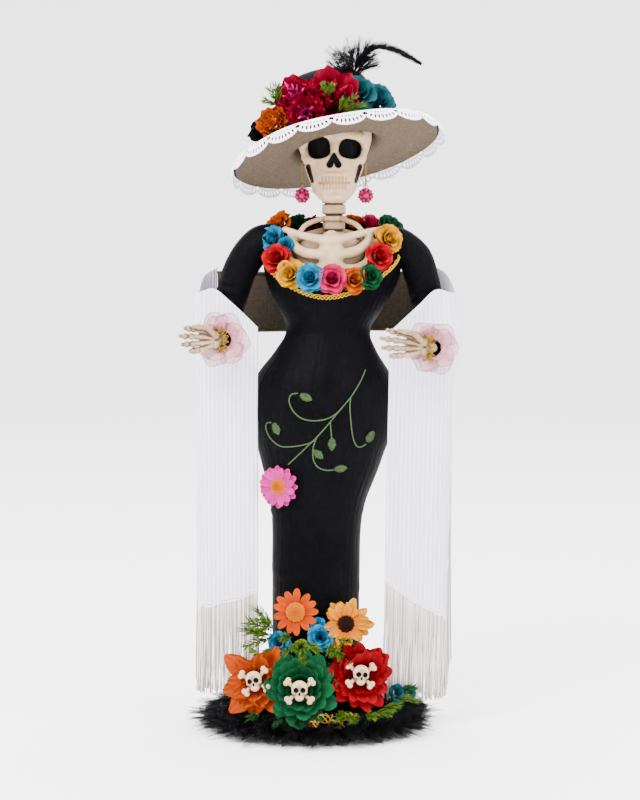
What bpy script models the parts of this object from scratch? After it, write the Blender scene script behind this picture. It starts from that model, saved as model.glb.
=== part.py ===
"""Papier-mache catrina figure: a dressed skeleton lady on a round base, with a flowered hat and a shawl.

+Z is up, the figure faces -Y, and the origin is the middle of the base's underside.
The table-like values are in millimetres and pass through mm() or MM.
"""

import math

import bmesh
import bpy
from mathutils import Matrix, Vector

MM = 0.001
GAP = 0.3 * MM  # left between pieces that touch

# Base and core
BASE_RADIUS = 55 * MM
BASE_HEIGHT = 15 * MM
DOWEL_RADIUS = 5 * MM
DOWEL_SEAT = 5 * MM  # height of the blind hole's floor
DOWEL_TOP = 419 * MM
DOWEL_CLEARANCE = 1.4 * MM

# Sewn and moulded body: (height, centre x, half width, half depth)
BODY_STATIONS = (
    (16, -1, 44, 40),
    (60, 0, 41, 37),
    (150, 0, 40, 36),
    (200, 1, 42, 38),
    (247, 5, 55, 46),
    (290, 6, 67, 53),
    (325, 7, 61, 48),
    (348, 9, 46, 40),
    (366, 11, 38, 34),
    (388, 14, 48, 38),
    (412, 15, 60, 43),
    (432, 15, 62.5, 43),
    (452, 15, 54.5, 39),
    (470, 15, 49, 36),
)
BODY_SIDES = 20
BODY_RINGS = 10
CLOTH = 1.2 * MM
PAPER = 3.5 * MM
PAPER_INSET = 1.8 * MM
NECK_X = 15 * MM
NECKLINE_BACK = 464 * MM
NECKLINE_DROP = 54 * MM  # how much lower the neckline is in front

# Arms, from the shoulder to the wrist; the right arm is the one at -X
SHOULDER_REACH = 66 * MM
SHOULDER_HEIGHT = 438 * MM
SLEEVE_ROUTE = {
    "right": ((-51.5, 0, 438), (-62, 0, 438), (-71, 0, 427), (-77, 1, 405), (-82, 1, 382),
              (-83, -8, 366), (-83, -28, 360), (-83, -58, 360)),
    "left": ((81.5, 0, 438), (90, 0, 437), (98, 0, 426), (101, 1, 405), (105, 1, 380),
             (105, -8, 361), (104, -28, 354), (104, -60, 353)),
}
SLEEVE_RADII = (12.5, 15, 16, 15, 14, 13, 11, 8)
WIRE_RADIUS = 1.5 * MM
SLEEVE_BORE_RADIUS = 2.1 * MM
BODY_BORE_RADIUS = 3.4 * MM
BODY_BORE_REACH = 18 * MM  # the body's bore runs this far to each side of the shoulder
WIRE_BEHIND_NECK = 24 * MM
HAND_POINTS_TO = {"right": (-0.84, -0.54, -0.04), "left": (-0.985, -0.16, 0.06)}
CUFF_RADIUS = 28 * MM
WRIST_RADIUS = 4.2 * MM
PALM_RADIUS = 7 * MM
FINGER_RADIUS = 2.5 * MM
THUMB_RADIUS = 2.6 * MM
SHAWL_THICKNESS = 2.4 * MM
BAND_THICKNESS = 2 * MM
FOREARM_HOLE_RADIUS = 15 * MM  # where the forearm passes through the shawl
WRIST_DROP = {"right": 3, "left": 11}  # how far the hand starts past the sleeve

# Head and hat
SKULL_X = 16.5 * MM
# (height, front y, back y, half width)
SKULL_STATIONS = (
    (483, -33, -17, 9),
    (487, -36, -12, 15),
    (495, -38, -9, 19),
    (504, -39, -7, 21),
    (511, -38, 18, 24),
    (521, -37, 33, 28),
    (533, -36, 40, 32.5),
    (548, -35, 42, 33.5),
    (561, -31, 38, 31),
    (571, -21, 29, 23),
    (577, -8, 17, 11),
)
EYE_HEIGHT = 531 * MM
EYE_REACH = 14 * MM
EYE_RADIUS = 10.5 * MM
HAT_CENTRE = (18, 2, 533)
HAT_TILT = math.radians(15)  # back
HAT_ROLL = math.radians(-12)  # the -X side is lower
BRIM_RADIUS = 95 * MM
HEAD_OPENING = 45 * MM
CROWN_RADIUS = 48 * MM
CROWN_HEIGHT = 71 * MM
FELT = 2 * MM
PLUME_RADIUS = 3.2 * MM

# Earrings: each hook turns in the skull, and each drop swings on its hook's loop
EAR_REACH = 29 * MM
EAR_Y = -4 * MM
EAR_HEIGHT = 519 * MM
HOOK_WIRE = 0.5 * MM
LOOP_RADIUS = 2.0 * MM
LOOP_HEIGHT = 500 * MM
DROP_RADIUS = 7.2 * MM
DROP_THICKNESS = 4 * MM

# Flowers round the neckline, by their angle from the front towards +X
ROSES = (
    (1, "pink"), (21, "orange"), (41, "green"), (61, "red"), (82, "yellow"),
    (108, "green"), (136, "pink"), (161, "orange"), (185, "red"), (208, "green"),
    (233, "orange"), (273, "blue"), (299, "red"), (320, "yellow"), (340, "blue"),
)
ROSE_RADIUS = 9.3 * MM
ROSE_DEPTH = 9 * MM
BRAID_RADIUS = 0.9 * MM

# Skirt and foot
STITCH_RADIUS = 0.8 * MM
GREENERY_RADIUS = 10 * MM
CHARM_BONE_RADIUS = 2.6 * MM
CHARM_LIFT = 3.4 * MM  # from the flower's face to the charm's middle

COLOURS = {
    "black_cloth": (0.012, 0.012, 0.015),
    "bone": (0.72, 0.62, 0.48),
    "paper": (0.55, 0.47, 0.36),
    "wood": (0.48, 0.33, 0.18),
    "wire": (0.45, 0.45, 0.46),
    "gold": (0.80, 0.55, 0.16),
    "organza": (0.86, 0.55, 0.55),
    "white_gauze": (0.86, 0.85, 0.88),
    "brown_mesh": (0.20, 0.14, 0.09),
    "burlap": (0.47, 0.39, 0.32),
    "white_lace": (0.88, 0.87, 0.90),
    "tulle": (0.01, 0.01, 0.012),
    "feather": (0.008, 0.008, 0.01),
    "red": (0.60, 0.02, 0.04),
    "crimson": (0.65, 0.03, 0.09),
    "pink": (0.90, 0.13, 0.28),
    "hot_pink": (0.93, 0.25, 0.52),
    "orange": (0.93, 0.32, 0.03),
    "orange_red": (0.85, 0.13, 0.03),
    "yellow": (0.95, 0.62, 0.03),
    "blue": (0.06, 0.40, 0.62),
    "teal": (0.02, 0.25, 0.32),
    "green": (0.02, 0.22, 0.09),
    "leaf": (0.10, 0.28, 0.05),
    "thread": (0.28, 0.44, 0.14),
}


def mm(*values):
    """A point or size given in millimetres."""
    return Vector(values) * MM


def start_scene():
    """Empties the scene and returns the collections for the parts and for the cutters."""
    for old in list(bpy.data.objects):
        bpy.data.objects.remove(old)
    made = []
    for name in ("catrina_figure", "cutters"):
        collection = bpy.data.collections.new(name)
        bpy.context.scene.collection.children.link(collection)
        made.append(collection)
    return made


PARTS, CUTTERS = start_scene()


def material(slot):
    """The Principled material of one named colour, made once."""
    found = bpy.data.materials.get(slot)
    if found:
        return found
    made = bpy.data.materials.new(slot)
    made.use_nodes = True
    shader = made.node_tree.nodes["Principled BSDF"]
    shader.inputs["Base Color"].default_value = (*COLOURS[slot], 1)
    shader.inputs["Roughness"].default_value = 0.35 if slot in ("gold", "wire") else 0.7
    shader.inputs["Metallic"].default_value = 1.0 if slot in ("gold", "wire") else 0.0
    return made


def add(name, data, slot, smooth=True):
    """Links a mesh or curve as a part. Round meshes are shaded smooth."""
    part = bpy.data.objects.new(name, data)
    PARTS.objects.link(part)
    if not data.materials:
        data.materials.append(material(slot))
    if smooth and isinstance(data, bpy.types.Mesh):
        data.shade_smooth()
    return part


def mesh_from(name, points, faces=(), edges=()):
    mesh = bpy.data.meshes.new(name)
    mesh.from_pydata([tuple(p) for p in points], list(edges), list(faces))
    return mesh


def turned(name, profile, slot, steps=32, closed=False):
    """A turned solid. The profile is (radius, height) pairs that run down its outer side."""
    points = [(r * MM, 0, h * MM) for r, h in profile]
    edges = [(i, i + 1) for i in range(len(points) - 1)]
    if closed:
        edges.append((len(points) - 1, 0))
    part = add(name, mesh_from(name, points, edges=edges), slot, smooth=False)
    screw = part.modifiers.new("turn", "SCREW")
    screw.steps = screw.render_steps = steps
    screw.use_merge_vertices = True
    screw.merge_threshold = 0.0001
    return part


def face(part, centre, facing, up=(0, 0, 1)):
    """Puts a part at a point with its own +Z along facing and its +Y as near up as can be."""
    forward = Vector(facing).normalized()
    side = Vector(up).cross(forward).normalized()
    turned_up = forward.cross(side)
    turn = Matrix((side, turned_up, forward)).transposed().to_4x4()
    part.matrix_world = Matrix.Translation(centre) @ turn
    return part


def smooth_route(points, per_span):
    """Points along the Catmull-Rom curve through the given ones, per_span to each span."""
    ends = [2 * points[0] - points[1], *points, 2 * points[-1] - points[-2]]
    route = []
    for a, b, c, d in zip(ends, ends[1:], ends[2:], ends[3:]):
        for i in range(per_span):
            t = i / per_span
            route.append(0.5 * (2 * b + (c - a) * t + (2 * a - 5 * b + 4 * c - d) * t * t
                                + (3 * b - a - 3 * c + d) * t * t * t))
    return [*route, points[-1]]


def tube(name, points, radius, slot, radii=None, resolution=2):
    """A round bar along points. radii, if given, are each point's share of radius."""
    curve = bpy.data.curves.new(name, "CURVE")
    curve.dimensions = "3D"
    curve.bevel_depth = radius
    curve.bevel_resolution = resolution
    curve.use_fill_caps = True
    spline = curve.splines.new("POLY")
    spline.points.add(len(points) - 1)
    for i, (target, point) in enumerate(zip(spline.points, points)):
        target.co = (*point, 1)
        target.radius = radii[i] if radii else 1
    return add(name, curve, slot)


def as_mesh(part):
    """The same part as a plain closed mesh, with its modifiers applied and its caps welded."""
    bpy.context.view_layer.update()
    graph = bpy.context.evaluated_depsgraph_get()
    mesh = bpy.data.meshes.new_from_object(part.evaluated_get(graph))
    work = bmesh.new()
    work.from_mesh(mesh)
    bmesh.ops.remove_doubles(work, verts=work.verts, dist=1e-6)
    bmesh.ops.recalc_face_normals(work, faces=work.faces)
    work.to_mesh(mesh)
    work.free()
    name, slot, place = part.name, part.data.materials[0].name, part.matrix_world.copy()
    bpy.data.objects.remove(part)
    made = add(name, mesh, slot)
    made.name = name
    made.matrix_world = place
    return made


def boolean(part, other, operation):
    """Joins or cuts part with other, which becomes a hidden helper."""
    step = part.modifiers.new(operation.lower(), "BOOLEAN")
    step.operation = operation
    step.solver = "EXACT"
    step.object = other
    PARTS.objects.unlink(other)
    CUTTERS.objects.link(other)
    other.name = "cut_" + other.name
    other.hide_render = True
    other.display_type = "WIRE"
    return part


def joined(pieces):
    """The first piece with the others joined on, as one mesh."""
    first, *others = [as_mesh(piece) for piece in pieces]
    for other in others:
        boolean(first, other, "UNION")
    return first


def ball(name, centre, radii, slot, segments=16, rings=10):
    """An ellipsoid."""
    mesh = bpy.data.meshes.new(name)
    work = bmesh.new()
    bmesh.ops.create_uvsphere(work, u_segments=segments, v_segments=rings, radius=1)
    bmesh.ops.scale(work, verts=work.verts, vec=radii)
    bmesh.ops.translate(work, verts=work.verts, vec=centre)
    work.to_mesh(mesh)
    work.free()
    return add(name, mesh, slot)


def loft(name, rings, slot, closed_ends=True):
    """A skin over rings of points, which run anticlockwise seen from above, lowest ring first."""
    sides = len(rings[0])
    points = [p for ring in rings for p in ring]
    faces = []
    for i in range(len(rings) - 1):
        for j in range(sides):
            k = (j + 1) % sides
            faces.append((i * sides + j, i * sides + k, (i + 1) * sides + k, (i + 1) * sides + j))
    if closed_ends:
        faces.append(tuple(reversed(range(sides))))
        faces.append(tuple(range(len(points) - sides, len(points))))
    return add(name, mesh_from(name, points, faces), slot)


def between(stations, height):
    """The stations' other values at a height, by smooth interpolation."""
    heights = [s[0] * MM for s in stations]
    i = max(0, min(len(stations) - 2, sum(height >= h for h in heights) - 1))
    t = max(0.0, min(1.0, (height - heights[i]) / (heights[i + 1] - heights[i])))
    before, after = stations[max(i - 1, 0)], stations[min(i + 2, len(stations) - 1)]
    low, high = stations[i], stations[i + 1]
    values = []
    for k in range(1, len(low)):
        slope_low = (high[k] - before[k]) / (high[0] - before[0])
        slope_high = (after[k] - low[k]) / (after[0] - low[0])
        span = high[0] - low[0]
        values.append(MM * ((2 * t**3 - 3 * t**2 + 1) * low[k] + (t**3 - 2 * t**2 + t) * span * slope_low
                            + (3 * t**2 - 2 * t**3) * high[k] + (t**3 - t**2) * span * slope_high))
    return values


def neckline_height(angle):
    """The neckline's height at an angle round the body, 0 in front."""
    return NECKLINE_BACK - NECKLINE_DROP * ((1 + math.cos(angle)) / 2) ** 2


def body_point(angle, height, inset=0.0):
    """A point of the body's outside at an angle (0 in front, then towards +X) and height."""
    centre, half_width, half_depth = between(BODY_STATIONS, height)
    return Vector((centre + (half_width - inset) * math.sin(angle),
                   -(half_depth - inset) * math.cos(angle), height))


def sheath(name, inset, thickness, bottom, slot):
    """A wall that follows the body from its bottom edge up to the neckline."""
    rings = []
    for i in range(BODY_RINGS + 1):
        ring = []
        for j in range(BODY_SIDES):
            angle = 2 * math.pi * j / BODY_SIDES
            height = bottom + (neckline_height(angle) - bottom) * i / BODY_RINGS
            ring.append(body_point(angle, height, inset))
        rings.append(ring)
    part = loft(name, rings, slot, closed_ends=False)
    wall = part.modifiers.new("wall", "SOLIDIFY")
    wall.thickness = thickness
    wall.offset = -1
    part.modifiers.new("facets", "TRIANGULATE").quad_method = "FIXED"
    return part


def make_base():
    hole = (DOWEL_RADIUS + DOWEL_CLEARANCE) / MM
    radius, height, seat = BASE_RADIUS / MM, BASE_HEIGHT / MM, DOWEL_SEAT / MM
    turned("base_board", ((0, seat), (hole, seat), (hole, height), (radius - 2, height),
                          (radius, height - 2), (radius, 0), (0, 0)), "wood", steps=28)
    foot, head = Vector((0, 0, DOWEL_SEAT + GAP)), Vector((NECK_X, 6 * MM, DOWEL_TOP))
    tube("support_dowel", [foot, head], DOWEL_RADIUS, "wood", resolution=3)
    turned("tulle_ruffle", ((47, 27), (75, 16), (97, 18), (110, 24), (117, 14), (115, 1),
                            (60, 1), (57, 17), (47, 17)), "tulle", steps=28, closed=True)


def make_body():
    """The paper shell with the dress cloth over it, both bored for the arm wire."""
    bottom = BASE_HEIGHT + GAP
    sheath("body_shell", PAPER_INSET, PAPER, bottom + 1 * MM, "paper")
    sheath("dress", 0.0, CLOTH, bottom + 1 * MM, "black_cloth")
    for name in ("body_shell", "dress"):
        for side, at in (("right", NECK_X - SHOULDER_REACH), ("left", NECK_X + SHOULDER_REACH)):
            route = [Vector((at - BODY_BORE_REACH, 0, SHOULDER_HEIGHT)),
                     Vector((at + BODY_BORE_REACH, 0, SHOULDER_HEIGHT))]
            bore = tube(f"{name}_{side}_bore", route, BODY_BORE_RADIUS, "wire", resolution=1)
            boolean(bpy.data.objects[name], as_mesh(bore), "DIFFERENCE")


def make_ribcage():
    """Breastbone, collar bones and ribs in one casting, set in the neckline."""
    def bone(name, points, radius):
        return tube(name, smooth_route([mm(*p) for p in points], 2), radius * MM, "bone", resolution=1)

    sternum = ball("ribcage", mm(15, -33, 434), mm(9.5, 4, 23), "bone", 12, 10)
    pieces = [sternum]
    for side in (-1, 1):
        x = 15

        def out(reach):
            return x + side * reach

        ribs = (
            ("collar_bone", ((x, -31, 449), (out(20), -29, 450), (out(42), -18, 454)), 3.4),
            ("first_rib", ((out(13.5), 2, 462), (out(22), -14, 457), (out(26), -26, 448)), 2.8),
            ("second_rib",
             ((x, -34, 432), (out(20), -30, 431), (out(38), -21, 440), (out(45), 2, 446)), 3.2),
            ("third_rib",
             ((x, -34, 421), (out(20), -31, 416), (out(39), -18, 421), (out(46), 6, 428)), 3),
        )
        pieces += [bone(f"{name}_{side}", points, radius) for name, points, radius in ribs]
    joined(pieces)


def make_neck():
    rings = [(0, 501), (8, 501), (10, 498)]
    for height in (492, 480, 468, 456):
        rings += [(9.2, height + 1), (11, height - 3), (11, height - 7), (9.2, height - 10)]
    rings += [(8, 441), (8, 420), (0, 420)]
    part = turned("neck", rings, "bone", steps=14)
    part.location = (SKULL_X, 6 * MM, 0)


def make_skull():
    sides = 20
    rings = []
    for height, front, back, half_width in SKULL_STATIONS:
        middle, half_depth = (front + back) / 2, (back - front) / 2
        ring = []
        for j in range(sides):
            angle = 2 * math.pi * j / sides
            x, y = math.sin(angle), -math.cos(angle)
            ring.append(mm(half_width * math.copysign(abs(x) ** 0.85, x),
                           middle + half_depth * math.copysign(abs(y) ** 0.85, y), height))
        rings.append([p + Vector((SKULL_X, 0, 0)) for p in ring])
    skull = loft("skull", rings, "bone")
    for side in (-1, 1):
        centre = Vector((SKULL_X + side * EYE_REACH, -36 * MM, EYE_HEIGHT))
        socket = ball(f"socket_{side}", centre, (EYE_RADIUS, 8 * MM, EYE_RADIUS * 0.9), "bone", 14, 8)
        boolean(skull, socket, "DIFFERENCE")
        centre = Vector((SKULL_X + side * EAR_REACH, EAR_Y, EAR_HEIGHT))
        pin = [centre - Vector((side * 8 * MM, 0, 0)), centre + Vector((side * 2 * MM, 0, 0))]
        hole = tube(f"ear_hole_{side}", pin, HOOK_WIRE + GAP, "bone", resolution=1)
        boolean(skull, as_mesh(hole), "DIFFERENCE")
    nose = ball("nose_hole", Vector((SKULL_X, -38 * MM, 519 * MM)), mm(4.5, 6, 7), "bone", 10, 6)
    boolean(skull, nose, "DIFFERENCE")


def make_arm(side):
    """A sleeve over its limb, bored for the armature wire."""
    points = smooth_route([mm(*p) for p in SLEEVE_ROUTE[side]], 2)
    radii = []
    for low, high in zip(SLEEVE_RADII, SLEEVE_RADII[1:]):
        radii += [low * MM, (low + high) / 2 * MM]
    radii.append(SLEEVE_RADII[-1] * MM)
    sleeve = as_mesh(tube(f"sleeve_{side}", points, 1, "black_cloth", radii, resolution=2))
    ends = [2 * points[0] - points[1], *points, 2 * points[-1] - points[-2]]
    bore = as_mesh(tube(f"sleeve_bore_{side}", ends, SLEEVE_BORE_RADIUS, "wire", resolution=1))
    boolean(sleeve, bore, "DIFFERENCE")
    return points


def make_arm_wire(right_route, left_route):
    """One armature wire from wrist to wrist, behind the neck."""
    middle = [mm(-31, 1, 438), mm(-18, 15, 438), Vector((NECK_X, WIRE_BEHIND_NECK, 437 * MM)),
              mm(48, 15, 438), mm(61, 1, 438)]
    across = smooth_route([right_route[0] + mm(3, 0, 0), *middle, left_route[0] - mm(3, 0, 0)], 2)
    points = [*reversed(right_route), *across, *left_route]
    tube("arm_wire", points, WIRE_RADIUS, "wire", resolution=1)


def make_hand(side, wrist):
    """A bone hand that starts at the wrist: palm, thumb and four fingers, thumb side up."""
    mirror = 1 if side == "left" else -1
    sleeve_end, wrist = wrist, wrist - mm(0, WRIST_DROP[side], 0)
    forward = Vector(HAND_POINTS_TO[side]).normalized()
    across = Vector((0, 0, 1)) - forward * forward.z
    across.normalize()
    palm_side = forward.cross(across) * mirror

    def at(along, up, out):
        return wrist + (forward * along + across * up + palm_side * out) * MM

    curl = 7 if side == "left" else 15
    name = f"hand_{side}"
    palm = tube(name, [at(9, 1, 0), at(15, 2, 0), at(23, 2, 0)], PALM_RADIUS, "bone", [0.75, 1.15, 1.05])
    pieces = [palm]
    for k, (rise, length) in enumerate(((8.5, 42), (3.6, 47), (-1.4, 45), (-6, 38))):
        if side == "right":
            length -= 5
        route = [at(17, rise * 0.75, 0), at(26, rise, 0),
                 at((26 + length) / 2, rise * 1.05, curl * 0.25), at(length, rise, curl)]
        pieces.append(tube(f"{name}_finger_{k}", smooth_route(route, 2), FINGER_RADIUS, "bone",
                           [1, 1, 1.1, 1, 0.95, 0.85, 0.6], resolution=1))
    thumb = [at(12, 5, 1), at(20, 12, 3), at(33, 14, 5)]
    pieces.append(tube(f"{name}_thumb", smooth_route(thumb, 2), THUMB_RADIUS, "bone",
                       [1, 1, 1, 0.9, 0.6], resolution=1))
    stub = [sleeve_end - mm(0, 2, 0), wrist, at(10, 1, 0)]
    pieces.append(tube(f"{name}_wrist", stub, WRIST_RADIUS, "bone", resolution=1))
    joined(pieces)


def make_cuff(side, wrist):
    """An organza frill round the wrist, open towards the hand."""
    radius = CUFF_RADIUS / MM
    profile = ((radius, 3.2), (radius - 0.5, 2.0), (17, -1), (10.5, -7), (9.4, -6), (16, 0.2))
    cuff = turned(f"cuff_{side}", profile, "organza", steps=20, closed=True)
    face(cuff, wrist + mm(0, 1, 0), (0, -1, 0))


def ribbon(name, route, slot, thickness, lean=0):
    """A hanging cloth. The route is (x, y, bottom, top) at each place along it, and its foot leans in X."""
    levels = 3
    rings = []
    for x, y, low, high in route:
        shares = [i / levels for i in range(levels + 1)]
        rings.append([mm(x + lean * (1 - share), y, low + (high - low) * share) for share in shares])
    points = [p for ring in rings for p in ring]
    faces = []
    for i in range(len(rings) - 1):
        for j in range(levels):
            a = i * (levels + 1) + j
            faces.append((a, a + levels + 1, a + levels + 2, a + 1))
    part = add(name, mesh_from(name, points, faces), slot)
    wall = part.modifiers.new("cloth", "SOLIDIFY")
    wall.thickness = thickness
    wall.offset = 0
    return part


def make_shawl():
    """Two hanging ends with the forearms through them, and the band across the back."""
    ends = {
        "right": ((-92, 37, 366, 420), (-104, 22, 362, 424), (-109, 5, 340, 426), (-109, -12, 150, 424),
                  (-104, -23, 36, 420), (-92, -27, 34, 408), (-78, -28, 33, 394), (-64, -28, 33, 381),
                  (-53, -27, 34, 370)),
        "left": ((112, 37, 364, 420), (121, 22, 360, 424), (126, 5, 335, 426), (125, -12, 150, 424),
                 (120, -23, 28, 419), (108, -27, 27, 407), (94, -28, 28, 391), (80, -28, 29, 378),
                 (67, -27, 30, 366)),
    }
    leans = {"right": 0, "left": -6}
    for side, route in ends.items():
        end = ribbon(f"shawl_{side}", route, "white_gauze", SHAWL_THICKNESS, leans[side])
        wrist = mm(*SLEEVE_ROUTE[side][-1])
        path = [Vector((wrist.x, y * MM, mm(*SLEEVE_ROUTE[side][-2]).z)) for y in (-45, -12)]
        arm_hole = tube(f"arm_hole_{side}", path, FOREARM_HOLE_RADIUS, "wire", resolution=4)
        boolean(end, as_mesh(arm_hole), "DIFFERENCE")
    back = ((-90.5, 38.6, 366, 420), (-70, 50, 365, 419), (-35, 54, 365, 417), (10, 55, 365, 416),
            (55, 54, 364, 417), (90, 50, 364, 419), (108.5, 39.6, 364, 420))
    ribbon("shawl_back", back, "brown_mesh", BAND_THICKNESS)


def hat_frame():
    """The hat's own place and turn."""
    turn = Matrix.Rotation(HAT_ROLL, 4, "Y") @ Matrix.Rotation(-HAT_TILT, 4, "X")
    return Matrix.Translation(mm(*HAT_CENTRE)) @ turn


def make_hat():
    brim, opening, crown = BRIM_RADIUS / MM, HEAD_OPENING / MM, CROWN_RADIUS / MM
    wall, top = FELT / MM, CROWN_HEIGHT / MM
    place = hat_frame()
    part = turned("hat_brim", ((opening, 1), (65, 2), (brim - 12, 0.5), (brim, -3), (brim - 0.5, -4.6),
                               (brim - 12, -1.5), (65, 0), (opening, -1)), "burlap", steps=36, closed=True)
    part.matrix_world = place
    outside = ((0, top), (crown * 0.55, top - 3), (crown * 0.86, top - 14),
               (crown * 0.98, top - 34), (crown, 2.6))
    inside = ((crown - wall, 2.6), (crown * 0.98 - wall, top - 34), (crown * 0.86 - wall, top - 15),
              (crown * 0.55, top - 5.2), (0, top - 2.2))
    part = turned("hat_crown", outside + inside, "black_cloth", steps=26)
    part.matrix_world = place
    part = turned("hat_lace", ((brim - 7, 1.6), (brim + 1.6, -1.5), (brim + 4.5, -10), (brim + 3.3, -10.4),
                               (brim + 0.6, -2.2), (brim - 7, 0.4)), "white_lace", steps=36, closed=True)
    part.matrix_world = place @ Matrix.Translation(mm(0, 0, 0.6))
    blooms = (
        ("hat_carnation_top", (13, -50, 581), (0.1, -0.9, 0.45), 19, 15, "crimson"),
        ("hat_carnation_low", (-16, -58, 566), (-0.2, -0.9, 0.3), 15.5, 14, "crimson"),
        ("hat_carnation_side", (-34, -34, 576), (-0.7, -0.6, 0.4), 13.5, 13, "crimson"),
        ("hat_orange_flower", (-44, -50, 548), (-0.5, -0.8, 0.3), 12.5, 10, "orange"),
        ("hat_teal_rose", (56, -32, 582), (0.4, -0.75, 0.5), 17, 14, "teal"),
    )
    for name, centre, facing, radius, depth, slot in blooms:
        make_bloom(name, mm(*centre), facing, radius * MM, depth * MM, slot)
    bends = ((34, -12, 610), (45, -12, 618), (60, -13, 624), (78, -14, 620), (95, -15, 609))
    plume = [mm(*p) for p in bends]
    route = smooth_route(plume, 3)
    share = [0.5 + 0.5 * math.sin(math.pi * min(1, (i + 2) / len(route))) for i in range(len(route))]
    joined([ball("hat_feather", mm(35, -12, 619), mm(20, 7, 15), "feather", 12, 8),
            tube("plume", route, PLUME_RADIUS, "feather", share, resolution=1)])


def make_bloom(name, centre, facing, radius, depth, slot, steps=14):
    """A flower head as a plain turned dome, flat behind."""
    r, d = radius / MM, depth / MM
    bloom = turned(name, ((0, d * 0.5), (r * 0.5, d * 0.46), (r, d * 0.1), (r * 0.8, -d * 0.35),
                          (r * 0.35, -d * 0.5), (0, -d * 0.5)), slot, steps=steps)
    return face(bloom, centre, facing)


def make_neckline():
    """The gold braid on the neckline's edge, and the ring of roses on it."""
    count = 30
    ring = []
    for i in range(count):
        angle = 2 * math.pi * i / count
        ring.append(body_point(angle, neckline_height(angle) - 4 * MM, -1.3 * MM))
    braid = tube("neckline_braid", ring, BRAID_RADIUS, "gold", resolution=1)
    braid.data.splines[0].use_cyclic_u = True
    braid.data.use_fill_caps = False
    for i, (degrees, slot) in enumerate(ROSES):
        angle = math.radians(degrees)
        # Roses over a shoulder stand higher, clear of the sleeve.
        lift = 3 * MM * math.sin(angle) ** 4
        edge = body_point(angle, neckline_height(angle))
        rise = 0.25 + 1.1 * math.sin(angle) ** 4
        outward = Vector((math.sin(angle), -math.cos(angle), rise)).normalized()
        centre = edge + outward * (ROSE_DEPTH / 2 + 1.2 * MM) + Vector((0, 0, lift + 3 * MM))
        make_bloom(f"neckline_rose_{i + 1:02d}", centre, outward, ROSE_RADIUS, ROSE_DEPTH, slot, steps=10)


def make_earring(side, sign):
    """A wire hook pinned in the skull, and a flower drop that hangs on the hook's loop."""
    x = SKULL_X + sign * EAR_REACH
    wire = [Vector((x - sign * 7 * MM, EAR_Y, EAR_HEIGHT)), Vector((x - sign * 1 * MM, EAR_Y, EAR_HEIGHT)),
            Vector((x, EAR_Y, EAR_HEIGHT - 1.2 * MM)), Vector((x, EAR_Y, LOOP_HEIGHT + LOOP_RADIUS))]
    turns = 12
    for i in range(1, turns):
        angle = 2 * math.pi * i / turns
        offset = Vector((0, math.sin(angle), math.cos(angle))) * LOOP_RADIUS
        wire.append(Vector((x, EAR_Y, LOOP_HEIGHT)) + offset)
    wire[-1] += mm(0, -0.35, -0.35)
    tube(f"earring_hook_{side}", wire, HOOK_WIRE, "gold", resolution=1)
    pivot_height = LOOP_HEIGHT - LOOP_RADIUS
    ring_centre = pivot_height - 0.7 * MM
    mesh = bpy.data.meshes.new(f"earring_drop_{side}")
    work = bmesh.new()
    middle = ring_centre - LOOP_RADIUS - DROP_RADIUS + 1.6 * MM
    turn = Matrix.Translation((x, EAR_Y, middle)) @ Matrix.Rotation(math.radians(90), 4, "X")
    bmesh.ops.create_cone(work, cap_ends=True, segments=16, radius1=DROP_RADIUS, radius2=DROP_RADIUS * 0.72,
                          depth=DROP_THICKNESS, matrix=turn)
    work.to_mesh(mesh)
    work.free()
    disc = add(f"earring_drop_{side}", mesh, "pink")
    bpy.ops.mesh.primitive_torus_add(major_radius=LOOP_RADIUS, minor_radius=HOOK_WIRE,
                                     major_segments=16, minor_segments=6,
                                     location=(x, EAR_Y, ring_centre), rotation=(math.pi / 2, 0, 0))
    ring = bpy.context.object
    ring.name = f"drop_ring_{side}"
    for collection in list(ring.users_collection):
        collection.objects.unlink(ring)
    PARTS.objects.link(ring)
    ring.data.materials.append(material("gold"))
    joined([disc, ring])


def make_charm(name, centre, facing, shared):
    """A small skull over crossed bones. The three charms share one mesh."""
    if shared is None:
        skull = ball(name, mm(0, 2, 3), mm(7.5, 8, 5), "bone", 10, 6)
        jaw = ball("charm_jaw", mm(0, -6.5, 3), mm(4.5, 4.5, 4), "bone", 8, 6)
        bones = []
        for k in (-1, 1):
            route = [mm(-13 * k, 10, 0), mm(-11 * k, 8.5, 0), mm(11 * k, -8.5, 0), mm(13 * k, -10, 0)]
            bones.append(tube(f"charm_bone_{k}", route, CHARM_BONE_RADIUS, "bone",
                              [1.3, 0.9, 0.9, 1.3], resolution=1))
        charm = as_mesh(joined([skull, jaw, *bones]))
    else:
        charm = add(name, shared, "bone")
    face(charm, centre, facing)
    return charm.data


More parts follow.
